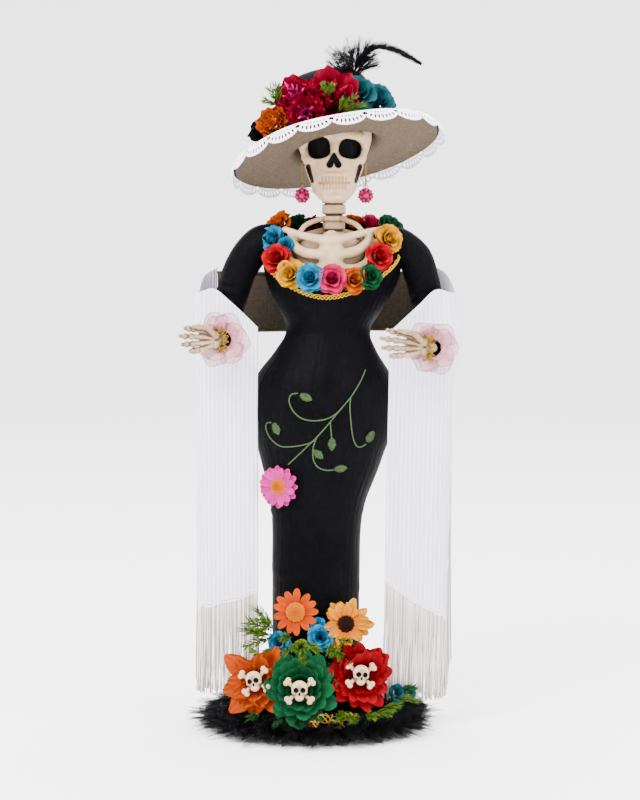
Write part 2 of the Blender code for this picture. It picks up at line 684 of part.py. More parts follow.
def make_skirt_flowers():
    """The flowers in front of the hem, the greenery behind them, and the skull charms on them."""
    greenery = [body_point(math.radians(a), 39 * MM, -18 * MM) for a in range(-60, 61, 12)]
    tube("greenery", greenery, GREENERY_RADIUS, "leaf", [0.5, 0.8, *[1] * 7, 0.8, 0.5], resolution=2)
    big = (
        ("green_flower", (-14, -81, 50), (0, -0.96, 0.28), 28, 12, "green"),
        ("red_flower", (41, -70, 61), (0.28, -0.93, 0.22), 26, 12, "red"),
        ("orange_flower", (-60, -61, 55), (-0.5, -0.84, 0.2), 23, 12, "orange_red"),
    )
    shared = None
    for name, centre, facing, radius, depth, slot in big:
        make_bloom(name, mm(*centre), facing, radius * MM, depth * MM, slot, steps=20)
        lift = Vector(facing).normalized() * (depth / 2 * MM + CHARM_LIFT)
        shared = make_charm(f"charm_{name.split('_')[0]}", mm(*centre) + lift, facing, shared)
    small = (
        ("orange_daisy", (-19, -50, 115), (-0.05, -0.99, 0.1), 20, 7, "orange"),
        ("sunflower", (29, -48, 107), (0.25, -0.96, 0.1), 20, 7, "yellow"),
        ("blue_rose_right", (-33, -52, 87), (-0.3, -0.9, 0.3), 9, 9, "blue"),
        ("blue_rose_left", (5, -53, 87), (0, -0.95, 0.3), 9.5, 9, "blue"),
    )
    for name, centre, facing, radius, depth, slot in small:
        make_bloom(name, mm(*centre), facing, radius * MM, depth * MM, slot)


def on_skirt(x, height):
    """The point of the skirt's front straight behind (x, height), with a little clearance."""
    centre, half_width, half_depth = between(BODY_STATIONS, height * MM)
    share = max(-0.98, min(0.98, (x * MM - centre) / half_width))
    return Vector((x * MM, -half_depth * math.sqrt(1 - share * share) - 1.5 * MM, height * MM))


def make_skirt_trim():
    """The embroidered vine and the daisy at the end of its stem."""
    stem = ((47, 338), (38, 318), (24, 298), (4, 282), (-14, 262), (-27, 247))
    main = [on_skirt(*p) for p in stem]
    pieces = [tube("vine_embroidery", smooth_route(main, 3), STITCH_RADIUS, "thread", resolution=1)]
    curls = (
        ((27, 302), (14, 290), (-8, 288), (-24, 298), (-27, 312), (-17, 316), (-10, 312)),
        ((30, 306), (33, 284), (38, 268), (47, 266), (52, 274)),
        ((4, 282), (-16, 268), (-38, 270), (-48, 284), (-43, 292), (-38, 283)),
        ((-3, 275), (-6, 258), (4, 248), (18, 246)),
    )
    for k, curl in enumerate(curls):
        points = smooth_route([on_skirt(*p) for p in curl], 2)
        pieces.append(tube(f"vine_curl_{k}", points, STITCH_RADIUS, "thread", resolution=1))
    joined(pieces)
    make_bloom("pink_daisy", mm(-34, -39, 226), (-0.4, -0.9, 0.05), 18 * MM, 6 * MM, "hot_pink", steps=16)


def make_figure():
    make_base()
    make_body()
    make_ribcage()
    make_neck()
    make_skull()
    routes = {side: make_arm(side) for side in ("right", "left")}
    make_arm_wire(routes["right"], routes["left"])
    for side in ("right", "left"):
        wrist = routes[side][-1]
        make_hand(side, wrist)
        make_cuff(side, wrist)
    make_shawl()
    make_hat()
    make_neckline()
    make_earring("right", -1)
    make_earring("left", 1)
    make_skirt_flowers()
    make_skirt_trim()


make_figure()
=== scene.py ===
"""The looks of the catrina figure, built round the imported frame. Lengths in millimetres carry an MM."""

import math

import bmesh
import bpy
import numpy as np
import openvdb
from mathutils import Matrix, Vector


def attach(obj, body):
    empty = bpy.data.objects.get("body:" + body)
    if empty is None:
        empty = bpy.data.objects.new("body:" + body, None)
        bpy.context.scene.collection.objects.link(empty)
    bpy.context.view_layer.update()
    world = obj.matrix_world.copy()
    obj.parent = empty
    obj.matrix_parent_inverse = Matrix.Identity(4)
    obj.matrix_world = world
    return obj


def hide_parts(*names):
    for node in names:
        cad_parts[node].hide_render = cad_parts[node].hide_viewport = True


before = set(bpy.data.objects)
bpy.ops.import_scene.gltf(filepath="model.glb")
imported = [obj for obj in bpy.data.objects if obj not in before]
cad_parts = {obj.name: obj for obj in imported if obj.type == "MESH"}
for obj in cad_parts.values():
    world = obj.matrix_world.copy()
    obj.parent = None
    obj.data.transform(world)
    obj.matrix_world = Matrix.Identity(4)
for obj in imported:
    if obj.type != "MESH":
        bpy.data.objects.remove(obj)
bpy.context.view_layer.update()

MM = 0.001
TAU = 2 * math.pi
FIGURE = "figure"

# Body sections, as the CAD dress: (height, centre x, half width, half depth) in mm
BODY_STATIONS = (
    (16, -1, 44, 40), (60, 0, 41, 37), (150, 0, 40, 36), (200, 1, 42, 38), (247, 5, 55, 46),
    (290, 6, 67, 53), (325, 7, 61, 48), (348, 9, 46, 40), (366, 11, 38, 34), (388, 14, 48, 38),
    (412, 15, 60, 43), (432, 15, 62.5, 43), (452, 15, 54.5, 39), (470, 15, 49, 36),
)
NECK_X = 15
SKULL_X = 16.5
NECKLINE_BACK, NECKLINE_DROP = 464, 54

# The hat's own place and turn, as in the CAD
HAT_CENTRE = (18, 2, 533)
HAT_TILT, HAT_ROLL = math.radians(15), math.radians(-12)

PAINT = {
    "bone": (0.49, 0.335, 0.200), "recess_brown": (0.045, 0.021, 0.010), "socket": (0.0022, 0.0021, 0.0027),
    "slot": (0.0133, 0.0025, 0.0021), "red": (0.24, 0.0008, 0.005), "dark_red": (0.095, 0.001, 0.003),
    "crimson": (0.19, 0.0007, 0.013), "magenta": (0.36, 0.010, 0.14), "pink": (0.19, 0.001, 0.025),
    "hot_rose": (0.36, 0.004, 0.055), "hot_pink": (0.42, 0.012, 0.18), "orange": (0.34, 0.050, 0.0001),
    "flame": (0.24, 0.010, 0.0002), "yellow": (0.44, 0.185, 0.0001), "blue": (0.007, 0.125, 0.23),
    "teal": (0.006, 0.050, 0.062), "green": (0.003, 0.040, 0.013), "leaf": (0.012, 0.050, 0.007),
    "lime": (0.075, 0.125, 0.0048), "black": (0.002, 0.0019, 0.0025), "brown": (0.010, 0.0032, 0.0023),
    "gold": (0.26, 0.14, 0.02), "white": (0.72, 0.68, 0.78), "thread": (0.035, 0.058, 0.024),
    "gem": (0.24, 0.002, 0.045), "silver": (0.25, 0.25, 0.26), "fringe": (0.70, 0.61, 0.58),
    "braid": (0.55, 0.30, 0.015),
}


# ---------------------------------------------------------------- materials

def new_material(name):
    """A node material, with its tree and its shader."""
    made = bpy.data.materials.new(name)
    made.use_nodes = True
    return made, made.node_tree, made.node_tree.nodes["Principled BSDF"]


def node(tree, kind, links=(), **values):
    """A shader node with its inputs set or linked. links holds (input, output socket) pairs."""
    made = tree.nodes.new(kind)
    for key, value in values.items():
        if key in made.inputs:
            made.inputs[key].default_value = value
        else:
            setattr(made, key, value)
    for key, socket in links:
        tree.links.new(made.inputs[key], socket)
    return made


def grey(value):
    return (value, value, value, 1)


def roughen(tree, shader, source, low, high, smoothest, roughest):
    """Roughness that follows a pattern."""
    wanted = ramp(tree, source, low, high, grey(smoothest), grey(roughest))
    tree.links.new(shader.inputs["Roughness"], wanted)


def place_of(tree, stretch=(1, 1, 1)):
    """Object coordinates, stretched, for a pattern that doesn't need UVs."""
    source = tree.nodes.new("ShaderNodeTexCoord").outputs["Object"]
    mapping = node(tree, "ShaderNodeMapping", [("Vector", source)])
    mapping.inputs["Scale"].default_value = stretch
    return mapping.outputs["Vector"]


def noise_of(tree, scale, stretch=(1, 1, 1), detail=4.0, roughness=0.6):
    """Noise of a scale given in waves per metre."""
    return node(tree, "ShaderNodeTexNoise", [("Vector", place_of(tree, stretch))],
                Scale=scale, Detail=detail, Roughness=roughness).outputs["Fac"]


def ramp(tree, source, low, high, a=(0, 0, 0, 1), b=(1, 1, 1, 1)):
    """A two-stop colour ramp."""
    made = node(tree, "ShaderNodeValToRGB", [("Fac", source)])
    for stop, place, colour in zip(made.color_ramp.elements, (low, high), (a, b)):
        stop.position = place
        stop.color = colour
    return made.outputs["Color"]


def mixed(tree, a, b, share, kind="MIX"):
    """A colour mix. a and b are sockets or colours, and share is a socket or a number."""
    made = tree.nodes.new("ShaderNodeMix")
    made.data_type = "RGBA"
    made.blend_type = kind
    for key, value in (("A", a), ("B", b)):
        socket = next(i for i in made.inputs if i.name == key and i.type == "RGBA")
        if isinstance(value, bpy.types.NodeSocket):
            tree.links.new(socket, value)
        else:
            socket.default_value = (*value[:3], 1)
    if isinstance(share, bpy.types.NodeSocket):
        tree.links.new(made.inputs["Factor"], share)
    else:
        made.inputs["Factor"].default_value = share
    return next(o for o in made.outputs if o.type == "RGBA")


def bump(tree, shader, height, distance, strength=1.0, after=None):
    """A bump of a distance in millimetres."""
    made = node(tree, "ShaderNodeBump", [("Height", height)], Strength=strength, Distance=distance * MM)
    if after:
        tree.links.new(made.inputs["Normal"], after)
    tree.links.new(shader.inputs["Normal"], made.outputs["Normal"])
    return made.outputs["Normal"]


def tinted(name, rough=0.6, grain=900, grain_depth=0.08, gloss=0.03, coat=0.0, wear=0.25, stretch=(1, 1, 1),
           subsurface=0.0):
    """A material that takes its colour from the piece's tint, mottled and with a fine grain."""
    made, tree, shader = new_material(name)
    tint = node(tree, "ShaderNodeAttribute", attribute_name="tint").outputs["Color"]
    mottle = ramp(tree, noise_of(tree, 160), 0.25, 0.75, grey(1 - wear))
    tree.links.new(shader.inputs["Base Color"], mixed(tree, tint, mottle, 1.0, "MULTIPLY"))
    fine = noise_of(tree, grain, stretch)
    low, high = max(0.05, rough - 0.12), min(1.0, rough + 0.12)
    roughen(tree, shader, fine, 0.2, 0.8, low, high)
    bump(tree, shader, fine, grain_depth)
    shader.inputs["Specular IOR Level"].default_value = gloss
    shader.inputs["Coat Weight"].default_value = coat
    shader.inputs["Subsurface Weight"].default_value = subsurface
    shader.inputs["Subsurface Scale"].default_value = 1.5 * MM
    return made


def black_crinkle():
    """Black crinkled cloth with a slight sheen: fine upright pleats, broken by cross creases."""
    made, tree, shader = new_material("black_crinkle")
    broad = noise_of(tree, 14, (1, 1, 0.6))
    colour = ramp(tree, broad, 0.35, 0.75, (0.0006, 0.0006, 0.0009, 1), (0.0020, 0.0020, 0.0030, 1))
    tree.links.new(shader.inputs["Base Color"], colour)
    pleats = noise_of(tree, 330, (1, 1, 0.07), detail=3)
    cross = noise_of(tree, 420, (0.35, 0.35, 1), detail=2)
    first = bump(tree, shader, pleats, 1.0, 0.7)
    bump(tree, shader, cross, 0.6, 0.5, first)
    roughen(tree, shader, broad, 0.3, 0.7, 0.42, 0.62)
    shader.inputs["Specular IOR Level"].default_value = 0.02
    return made


def gauze():
    """White pleated gauze with its fine weave."""
    made, tree, shader = new_material("white_gauze")
    soft = noise_of(tree, 30, (1, 1, 0.2))
    tint = node(tree, "ShaderNodeAttribute", attribute_name="tint").outputs["Color"]
    mottle = ramp(tree, soft, 0.3, 0.75, grey(0.88))
    tree.links.new(shader.inputs["Base Color"], mixed(tree, tint, mottle, 1.0, "MULTIPLY"))
    weave = noise_of(tree, 1500, (1, 1, 0.25), detail=2)
    threads = noise_of(tree, 1500, (0.25, 0.25, 1), detail=2)
    first = bump(tree, shader, weave, 0.25, 0.6)
    bump(tree, shader, threads, 0.2, 0.5, first)
    roughen(tree, shader, weave, 0.2, 0.8, 0.8, 0.95)
    shader.inputs["Specular IOR Level"].default_value = 0.1
    shader.inputs["Subsurface Weight"].default_value = 0.15
    shader.inputs["Subsurface Scale"].default_value = 1 * MM
    return made


def metallic_knit():
    """Brown knit shot with gold: dark rows with bright specks."""
    made, tree, shader = new_material("metallic_knit")
    speck = node(tree, "ShaderNodeTexVoronoi", [("Vector", place_of(tree, (1, 1, 0.7)))], Scale=2300.0)
    rows = noise_of(tree, 700, (0.25, 0.25, 1), detail=2)
    brown = ramp(tree, rows, 0.35, 0.65, (0.006, 0.0043, 0.003, 1), (0.034, 0.0231, 0.0128, 1))
    spark = ramp(tree, speck.outputs["Color"], 0.62, 0.72)
    tree.links.new(shader.inputs["Base Color"], mixed(tree, brown, (0.085, 0.055, 0.022), spark))
    tree.links.new(shader.inputs["Metallic"], ramp(tree, speck.outputs["Color"], 0.5, 0.7))
    roughen(tree, shader, rows, 0.3, 0.7, 0.35, 0.6)
    bump(tree, shader, speck.outputs["Distance"], 0.8, 0.8)
    return made


def burlap():
    """Taupe stiffened burlap: two crossed sets of uneven threads."""
    made, tree, shader = new_material("burlap")
    along = noise_of(tree, 1300, (1, 0.10, 0.3), detail=2)
    across = noise_of(tree, 1300, (0.10, 1, 0.3), detail=2)
    threads = mixed(tree, along, across, 0.5)
    colour = ramp(tree, threads, 0.30, 0.68, (0.034, 0.0245, 0.0175, 1), (0.118, 0.083, 0.056, 1))
    tree.links.new(shader.inputs["Base Color"], colour)
    shader.inputs["Specular IOR Level"].default_value = 0.05
    bump(tree, shader, threads, 0.5, 0.7)
    roughen(tree, shader, threads, 0.3, 0.7, 0.75, 0.95)
    return made


def sheer(name, colour, cover, rough=0.5, net=0.0):
    """A see-through cloth. cover is how much of it stops light, and net breaks it up."""
    made, tree, shader = new_material(name)
    shade = noise_of(tree, 120)
    dark = tuple(c * 0.72 for c in colour)
    tree.links.new(shader.inputs["Base Color"], ramp(tree, shade, 0.3, 0.7, (*dark, 1), (*colour, 1)))
    shader.inputs["Roughness"].default_value = rough
    shader.inputs["Specular IOR Level"].default_value = 0.06
    weave = noise_of(tree, 900, detail=2)
    low = max(0.0, cover - net)
    tree.links.new(shader.inputs["Alpha"], ramp(tree, weave, 0.42, 0.58, grey(low), grey(cover)))
    bump(tree, shader, weave, 0.15, 0.4)
    return made


def wood():
    """Bare turned wood with its rings."""
    made, tree, shader = new_material("bare_wood")
    rings = node(tree, "ShaderNodeTexWave", [("Vector", place_of(tree, (1, 0.3, 1)))],
                 Scale=60.0, Distortion=6.0, Detail=3.0)
    colour = ramp(tree, rings.outputs["Fac"], 0.2, 0.9, (0.055, 0.033, 0.016, 1), (0.13, 0.085, 0.04, 1))
    tree.links.new(shader.inputs["Base Color"], colour)
    bump(tree, shader, rings.outputs["Fac"], 0.15, 0.4)
    shader.inputs["Roughness"].default_value = 0.6
    return made


def paper():
    """Layered torn newsprint and paste, unpainted."""
    made, tree, shader = new_material("papier_mache")
    scraps = node(tree, "ShaderNodeTexVoronoi", [("Vector", place_of(tree))], Scale=55.0)
    colour = ramp(tree, scraps.outputs["Color"], 0.2, 0.8, (0.09, 0.068, 0.04, 1), (0.17, 0.135, 0.09, 1))
    tree.links.new(shader.inputs["Base Color"], colour)
    bump(tree, shader, scraps.outputs["Distance"], 0.6, 0.6)
    shader.inputs["Roughness"].default_value = 0.85
    return made


def metal(name, colour, rough):
    """Plain metal, slightly uneven."""
    made, tree, shader = new_material(name)
    dull = tuple(c * 0.6 for c in colour)
    patina = noise_of(tree, 400)
    tree.links.new(shader.inputs["Base Color"], ramp(tree, patina, 0.3, 0.6, (*dull, 1), (*colour, 1)))
    roughen(tree, shader, patina, 0.3, 0.7, rough + 0.15, rough)
    shader.inputs["Metallic"].default_value = 1.0
    bump(tree, shader, patina, 0.05, 0.5)
    return made


LOOKS = {
    "bone": tinted("painted_bone", rough=0.55, grain=1100, grain_depth=0.10, wear=0.30, subsurface=0.08,
                   gloss=0.05),
    "petal": tinted("silk_petals", rough=0.62, grain=1500, grain_depth=0.06, wear=0.25),
    "paper_petal": tinted("paper_petals", rough=0.78, grain=800, grain_depth=0.12, wear=0.16),
    "foliage": tinted("plastic_foliage", rough=0.45, grain=700, grain_depth=0.12, wear=0.35, gloss=0.08),
    "fibre": tinted("loose_fibre", rough=0.8, grain=1800, grain_depth=0.06, wear=0.12),
    "gem": tinted("cut_gems", rough=0.2, grain=500, grain_depth=0.03, coat=0.1, wear=0.2, gloss=0.2),
    "black_cloth": black_crinkle(),
    "gauze": gauze(),
    "knit": metallic_knit(),
    "burlap": burlap(),
    "organza": sheer("pink_organza", (0.52, 0.21, 0.25), 0.64, 0.4, 0.2),
    "tulle": sheer("black_tulle", (0.0026, 0.0026, 0.0032), 0.66, 0.7, 0.34),
    "wood": wood(),
    "paper": paper(),
    "gold": metal("gold_wire", (0.30, 0.165, 0.028), 0.28),
    "steel": metal("bare_steel_wire", (0.12, 0.12, 0.13), 0.3),
}


# ---------------------------------------------------------------- mesh tools

def vec(values):
    return np.asarray(values, float)


def unit(v):
    return v / max(1e-12, np.linalg.norm(v))


class Patchwork:
    """Collects surface patches, each with its tint, and becomes one piece. Its points are in mm."""

    def __init__(self):
        self.points, self.faces, self.tints, self.looks = [], [], [], []
        self.count = 0

    def add(self, points, faces, tint, look=0):
        """Adds points and faces. The tint is one colour or one for each point."""
        points = np.asarray(points, float).reshape(-1, 3)
        tint = np.asarray(tint, float)
        if tint.ndim == 1:
            tint = np.tile(tint, (len(points), 1))
        self.points.append(points)
        self.tints.append(tint.reshape(-1, 3))
        faces = np.asarray(faces, int)
        self.faces.append(faces + self.count)
        self.looks.append(np.full(len(faces), look))
        self.count += len(points)

    def grid(self, points, tint, closed=False, look=0):
        """Adds a grid of points (rows, columns, 3). closed joins the last column to the first."""
        rows, columns = points.shape[:2]
        spans = columns if closed else columns - 1
        i, j = np.meshgrid(np.arange(rows - 1), np.arange(spans), indexing="ij")
        k = (j + 1) % columns
        faces = np.stack([i * columns + j, i * columns + k, (i + 1) * columns + k, (i + 1) * columns + j], -1)
        tint = np.asarray(tint, float)
        if tint.ndim == 2:
            tint = np.repeat(tint[:, None], columns, axis=1)
        self.add(points, faces.reshape(-1, 4), tint, look)

    def tube(self, route, radius, tint, sides=6, look=0):
        """Adds a round bar along a route. radius is one number or one for each point."""
        route = np.asarray(route, float)
        radius = np.broadcast_to(np.asarray(radius, float), (len(route),))
        ahead = np.gradient(route, axis=0)
        ahead /= np.maximum(1e-9, np.linalg.norm(ahead, axis=1))[:, None]
        side = unit(np.cross(ahead[0], (0.31, 0.52, 0.79)))
        turn = circle(sides)
        rings = []
        for centre, along, r in zip(route, ahead, radius):
            side = unit(side - along * (side @ along))
            other = np.cross(along, side)
            rings.append(centre + r * (np.cos(turn)[:, None] * side + np.sin(turn)[:, None] * other))
        rings = [np.tile(route[0], (sides, 1)), *rings, np.tile(route[-1], (sides, 1))]
        tint = np.asarray(tint, float)
        if tint.ndim == 2:
            tint = np.vstack([tint[:1], tint, tint[-1:]])
        self.grid(np.array(rings), tint, closed=True, look=look)

    def ball(self, centre, radii, tint, look=0, columns=8, rows=6, turn=None):
        """Adds an ellipsoid."""
        up = np.linspace(-math.pi / 2, math.pi / 2, rows)
        round_ = circle(columns)
        shape = np.stack([np.outer(np.cos(up), np.cos(round_)), np.outer(np.cos(up), np.sin(round_)),
                          np.repeat(np.sin(up)[:, None], columns, 1)], -1) * vec(radii)
        if turn is not None:
            shape = shape @ turn.T
        self.grid(shape + vec(centre), tint, closed=True, look=look)

    def piece(self, name, looks, slot, replaces=(), body=FIGURE, thickness=0.0, smooth=True, weld=False):
        """The collected patches as one object that rides on a body."""
        mesh = bpy.data.meshes.new(name)
        groups = [f for f in self.faces if len(f)]
        points = np.vstack(self.points) * MM
        if len({f.shape[1] for f in groups}) == 1:
            mesh.from_pydata(points, [], np.vstack(groups))
        else:
            mesh.from_pydata(points, [], [tuple(row) for f in groups for row in f])
        tint = np.ones((len(points), 4), np.float32)
        tint[:, :3] = np.vstack(self.tints)
        mesh.color_attributes.new("tint", "FLOAT_COLOR", "POINT").data.foreach_set("color", tint.ravel())
        for look in looks:
            mesh.materials.append(LOOKS[look])
        mesh.polygons.foreach_set("material_index", np.concatenate(self.looks).astype(np.int32))
        if weld:
            shape = bmesh.new()
            shape.from_mesh(mesh)
            bmesh.ops.remove_doubles(shape, verts=shape.verts, dist=0.01 * MM)
            shape.to_mesh(mesh)
            shape.free()
        if smooth:
            mesh.shade_smooth()
        mesh.validate()
        made = bpy.data.objects.new(name, mesh)
        bpy.context.scene.collection.objects.link(made)
        if thickness:
            wall = made.modifiers.new("thickness", "SOLIDIFY")
            wall.thickness = thickness * MM
            wall.offset = 0
        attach(made, body)
        if replaces:
            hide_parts(*replaces)
        return made


def smooth_route(points, per_span=6):
    """Points along the Catmull-Rom curve through the given ones."""
    points = [vec(p) for p in points]
    ends = [2 * points[0] - points[1], *points, 2 * points[-1] - points[-2]]
    route = []
    for a, b, c, d in zip(ends, ends[1:], ends[2:], ends[3:]):
        for i in range(per_span):
            t = i / per_span
            route.append(0.5 * (2 * b + (c - a) * t + (2 * a - 5 * b + 4 * c - d) * t * t
                                + (3 * b - a - 3 * c + d) * t ** 3))
    return np.array([*route, points[-1]])


def run_of(route):
    """The distance run at each point of a route."""
    return np.concatenate([[0], np.cumsum(np.linalg.norm(np.diff(route, axis=0), axis=1))])


def directions(route):
    """The unit direction of a route at each of its points."""
    ahead = np.gradient(route, axis=0)
    return ahead / np.linalg.norm(ahead, axis=1)[:, None]


def circle(count):
    """Angles once round, without the last."""
    return np.linspace(0, TAU, count, endpoint=False)


def basis(facing, up=(0, 0, 1)):
    """A turn whose third column is facing and whose second is as near up as can be."""
    forward = unit(vec(facing))
    side = unit(np.cross(vec(up), forward))
    return np.stack([side, np.cross(forward, side), forward], axis=1)


def spin(degrees, axis="Z"):
    """A turn about one axis."""
    return np.array(Matrix.Rotation(math.radians(degrees), 3, axis))


def blend_of(a, b, share):
    """Colours between a and b, one for each share."""
    share = np.asarray(share, float)[..., None]
    return vec(a) * (1 - share) + vec(b) * share


# ---------------------------------------------------------------- volumes, for the cast bone pieces

class Volume:
    """Signed distances on a grid in mm, built up from simple shapes and meshed at the end."""

    def __init__(self, low, high, voxel):
        self.low, self.voxel = vec(low), voxel
        axes = [np.arange(a, b + voxel, voxel, dtype=np.float32) for a, b in zip(low, high)]
        self.at = np.stack(np.meshgrid(*axes, indexing="ij"), -1)
        self.field = np.full(self.at.shape[:3], 50, np.float32)

    def join(self, other, soft=1.0):
        self.field = soft_least(self.field, other, soft)

    def cut(self, other, soft=0.6):
        self.field = -soft_least(-self.field, other, soft)

    def sample(self, points):
        """The field at any points, by trilinear interpolation."""
        place = (points - self.low) / self.voxel
        top = np.array(self.field.shape) - 2
        cell = np.clip(np.floor(place).astype(int), 0, top)
        t = np.clip(place - cell, 0, 1)
        total = 0
        for corner in np.ndindex(2, 2, 2):
            index = cell + corner
            share = np.prod(np.where(np.array(corner) == 1, t, 1 - t), axis=1)
            total = total + share * self.field[index[:, 0], index[:, 1], index[:, 2]]
        return total

    def surface(self):
        """Points, quads and, for each point, how deep it lies in a recess, 0 to 1."""
        grid = openvdb.FloatGrid(50.0)
        grid.copyFromArray(np.ascontiguousarray(self.field))
        points, quads = grid.convertToQuads(0.0)
        points = points * self.voxel + self.low
        quads = quads.astype(int)
        normals = np.zeros_like(points)
        faces = np.cross(points[quads[:, 2]] - points[quads[:, 0]], points[quads[:, 3]] - points[quads[:, 1]])
        for k in range(4):
            np.add.at(normals, quads[:, k], faces)
        normals /= np.maximum(1e-9, np.linalg.norm(normals, axis=1))[:, None]
        deep = np.zeros(len(points))
        for reach in (1.2, 2.6):
            deep += np.clip(1 - self.sample(points + normals * reach) / reach, 0, 1)
        return points, quads, np.clip(deep * 0.9, 0, 1)


def soft_least(a, b, soft):
    h = np.clip(0.5 + 0.5 * (b - a) / soft, 0, 1)
    return b * (1 - h) + a * h - soft * h * (1 - h)


def bar(at, a, b, thick_a, thick_b=None):
    """Distance to a round bar from a to b."""
    thick_b = thick_a if thick_b is None else thick_b
    a, b = vec(a).astype(np.float32), vec(b).astype(np.float32)
    along = b - a
    t = np.clip(((at - a) @ along) / float(along @ along), 0, 1)
    return np.linalg.norm(at - a - t[..., None] * along, axis=-1) - (thick_a + (thick_b - thick_a) * t)


def chain(at, points, thick):
    """Distance to a bar through several points. thick is one number or one for each point."""
    thick = np.broadcast_to(np.asarray(thick, float), (len(points),))
    found = None
    for a, b, low, high in zip(points, points[1:], thick, thick[1:]):
        d = bar(at, a, b, low, high)
        found = d if found is None else np.minimum(found, d)
    return found


def egg(at, centre, radii, turn=None):
    """Roughly the distance to an ellipsoid."""
    offset = at - vec(centre).astype(np.float32)
    if turn is not None:
        offset = offset @ turn.astype(np.float32)
    radii = vec(radii).astype(np.float32)
    inner = np.linalg.norm(offset / radii, axis=-1)
    return inner * (inner - 1) / np.maximum(1e-5, np.linalg.norm(offset / radii ** 2, axis=-1))


def bone_tint(deep, seed, points=None, stain=0.16):
    """Cast bone: cream, darkened toward brown in its recesses as painted shade, and with soft brown patches.
    """
    rng = np.random.default_rng(seed)
    # Recesses are darkened toward the brown here: painted shade.
    share = deep * 1.15 + rng.normal(0, 0.02, len(deep))
    if points is not None:
        x, y, z = points.T
        share = share + stain * (waves(x * 0.16 + y * 0.05, z * 0.16, seed, 9) + 0.35)
        share = share + 0.5 * stain * waves(x * 0.6, z * 0.5 + y * 0.4, seed + 1, 9)
    return blend_of(PAINT["bone"], PAINT["recess_brown"], np.clip(share, 0, 0.9))


# ---------------------------------------------------------------- flowers and leaves

def petal(length, width, lift=20, bend=0, base=0.3, widest=0.6, tip=0.5, square=0.6, cup=0.0,
          ruffle=0.0, waves=3, phase=0.0, rows=6, columns=7):
    """A petal's grid. It grows along x, lies across y and lifts toward z by lift degrees, plus bend."""
    u = np.linspace(0, 1, rows)[:, None]
    v = np.linspace(-1, 1, columns)[None]
    rising = base + (1 - base) * np.sin(math.pi / 2 * np.clip(u / widest, 0, 1))
    falling = tip + (1 - tip) * np.cos(math.pi / 2 * np.clip((u - widest) / (1 - widest), 0, 1))
    half = width / 2 * np.where(u < widest, rising, falling)
    reach = u * (1 - (1 - square) * v ** 2)
    start, swing = math.radians(lift), math.radians(bend if abs(bend) > 1 else 1)
    angle = start + swing * reach
    lean = cup * half * v ** 2 + ruffle * reach ** 2 * np.sin(waves * math.pi * v + phase)
    x = length * (np.sin(angle) - math.sin(start)) / swing - np.sin(angle) * lean
    z = length * (math.cos(start) - np.cos(angle)) / swing + np.cos(angle) * lean
    return np.stack(np.broadcast_arrays(x, half * v, z), -1)


def petal_tint(grid, base, edge, shade=1.0, vein=0.06):
    """Colours over a petal: base colour at its root and edge colour at its rim."""
    rows, columns = grid.shape[:2]
    u = np.linspace(0, 1, rows)[:, None] ** 1.3
    v = np.abs(np.linspace(-1, 1, columns))[None]
    share = np.clip(u * 0.85 + 0.15 * v, 0, 1)
    stripe = 1 - vein * (0.5 + 0.5 * np.cos(v * 14))
    return blend_of(base, edge, share) * (stripe * shade)[..., None]


class Bloom:
    """A flower being put together: petals go round its centre and face where it faces."""

    def __init__(self, centre, facing, seed, work=None, roll=0.0):
        self.work = work or Patchwork()
        self.centre = vec(centre)
        self.turn = basis(facing) @ spin(roll)
        self.rng = np.random.default_rng(seed)

    def place(self, points):
        return points @ self.turn.T + self.centre

    def ring(self, count, offset, rise, deep, rim, first=0.0, jitter=4.0, vary=0.06, look=0, **shape):
        """A ring of petals, each a little different from the last."""
        for i in range(count):
            angle = first + 360 * i / count + self.rng.normal(0, jitter)
            wanted = dict(shape)
            wanted["length"] *= 1 + self.rng.normal(0, vary)
            wanted["lift"] = shape.get("lift", 20) + self.rng.normal(0, 3)
            grid = petal(phase=self.rng.uniform(0, TAU), **wanted) + (offset, 0, rise)
            grid = self.place(grid @ spin(angle).T)
            self.work.grid(grid, petal_tint(grid, deep, rim, self.rng.uniform(0.86, 1.06)), look=look)

    def spiral(self, turns, inner, outer, low, high, base, edge, look=0):
        """A ribbon wound into a bud."""
        t = np.linspace(0, 1, int(turns * 14))[None]
        u = np.linspace(0, 1, 5)[:, None]
        radius = inner + (outer - inner) * t + 0.10 * outer * u ** 2 * (1 + np.sin(t * turns * TAU * 1.5))
        angle = t * turns * TAU
        height = low + (high - low) * u * (1 - 0.28 * t + 0.06 * np.sin(angle * 1.5))
        ribbon = np.broadcast_arrays(radius * np.cos(angle), radius * np.sin(angle), height)
        grid = self.place(np.stack(ribbon, -1))
        self.work.grid(grid, blend_of(base, edge, np.linspace(0.1, 1, 5)), look=look)

    def dome(self, radius, height, count, rise, inner, outer, size=None, look=0):
        """A disc of florets in the sunflower's spiral."""
        size = size or radius * 1.5 / math.sqrt(count)
        for i in range(count):
            out = math.sqrt((i + 0.5) / count)
            angle = i * math.radians(137.5)
            z = rise + height * (1 - out ** 2)
            at = self.place(vec((radius * out * math.cos(angle), radius * out * math.sin(angle), z)))
            self.work.ball(at, (size * 0.5,) * 3, blend_of(inner, outer, out), look=look, columns=5, rows=4)
        plate = np.stack([self.ring_of(radius * s, rise + height * (1 - s * s) * 0.8)
                          for s in (1.0, 0.6, 0.05)])
        self.work.grid(self.place(plate), inner, closed=True, look=look)

    @staticmethod
    def ring_of(radius, z, sides=20):
        turn = circle(sides)
        return np.stack([radius * np.cos(turn), radius * np.sin(turn), np.full(sides, z)], -1)


def darker(colour, share):
    return vec(colour) * share


def lighter(colour, share):
    return vec(colour) * (1 + 1.6 * share) + 0.004 * share


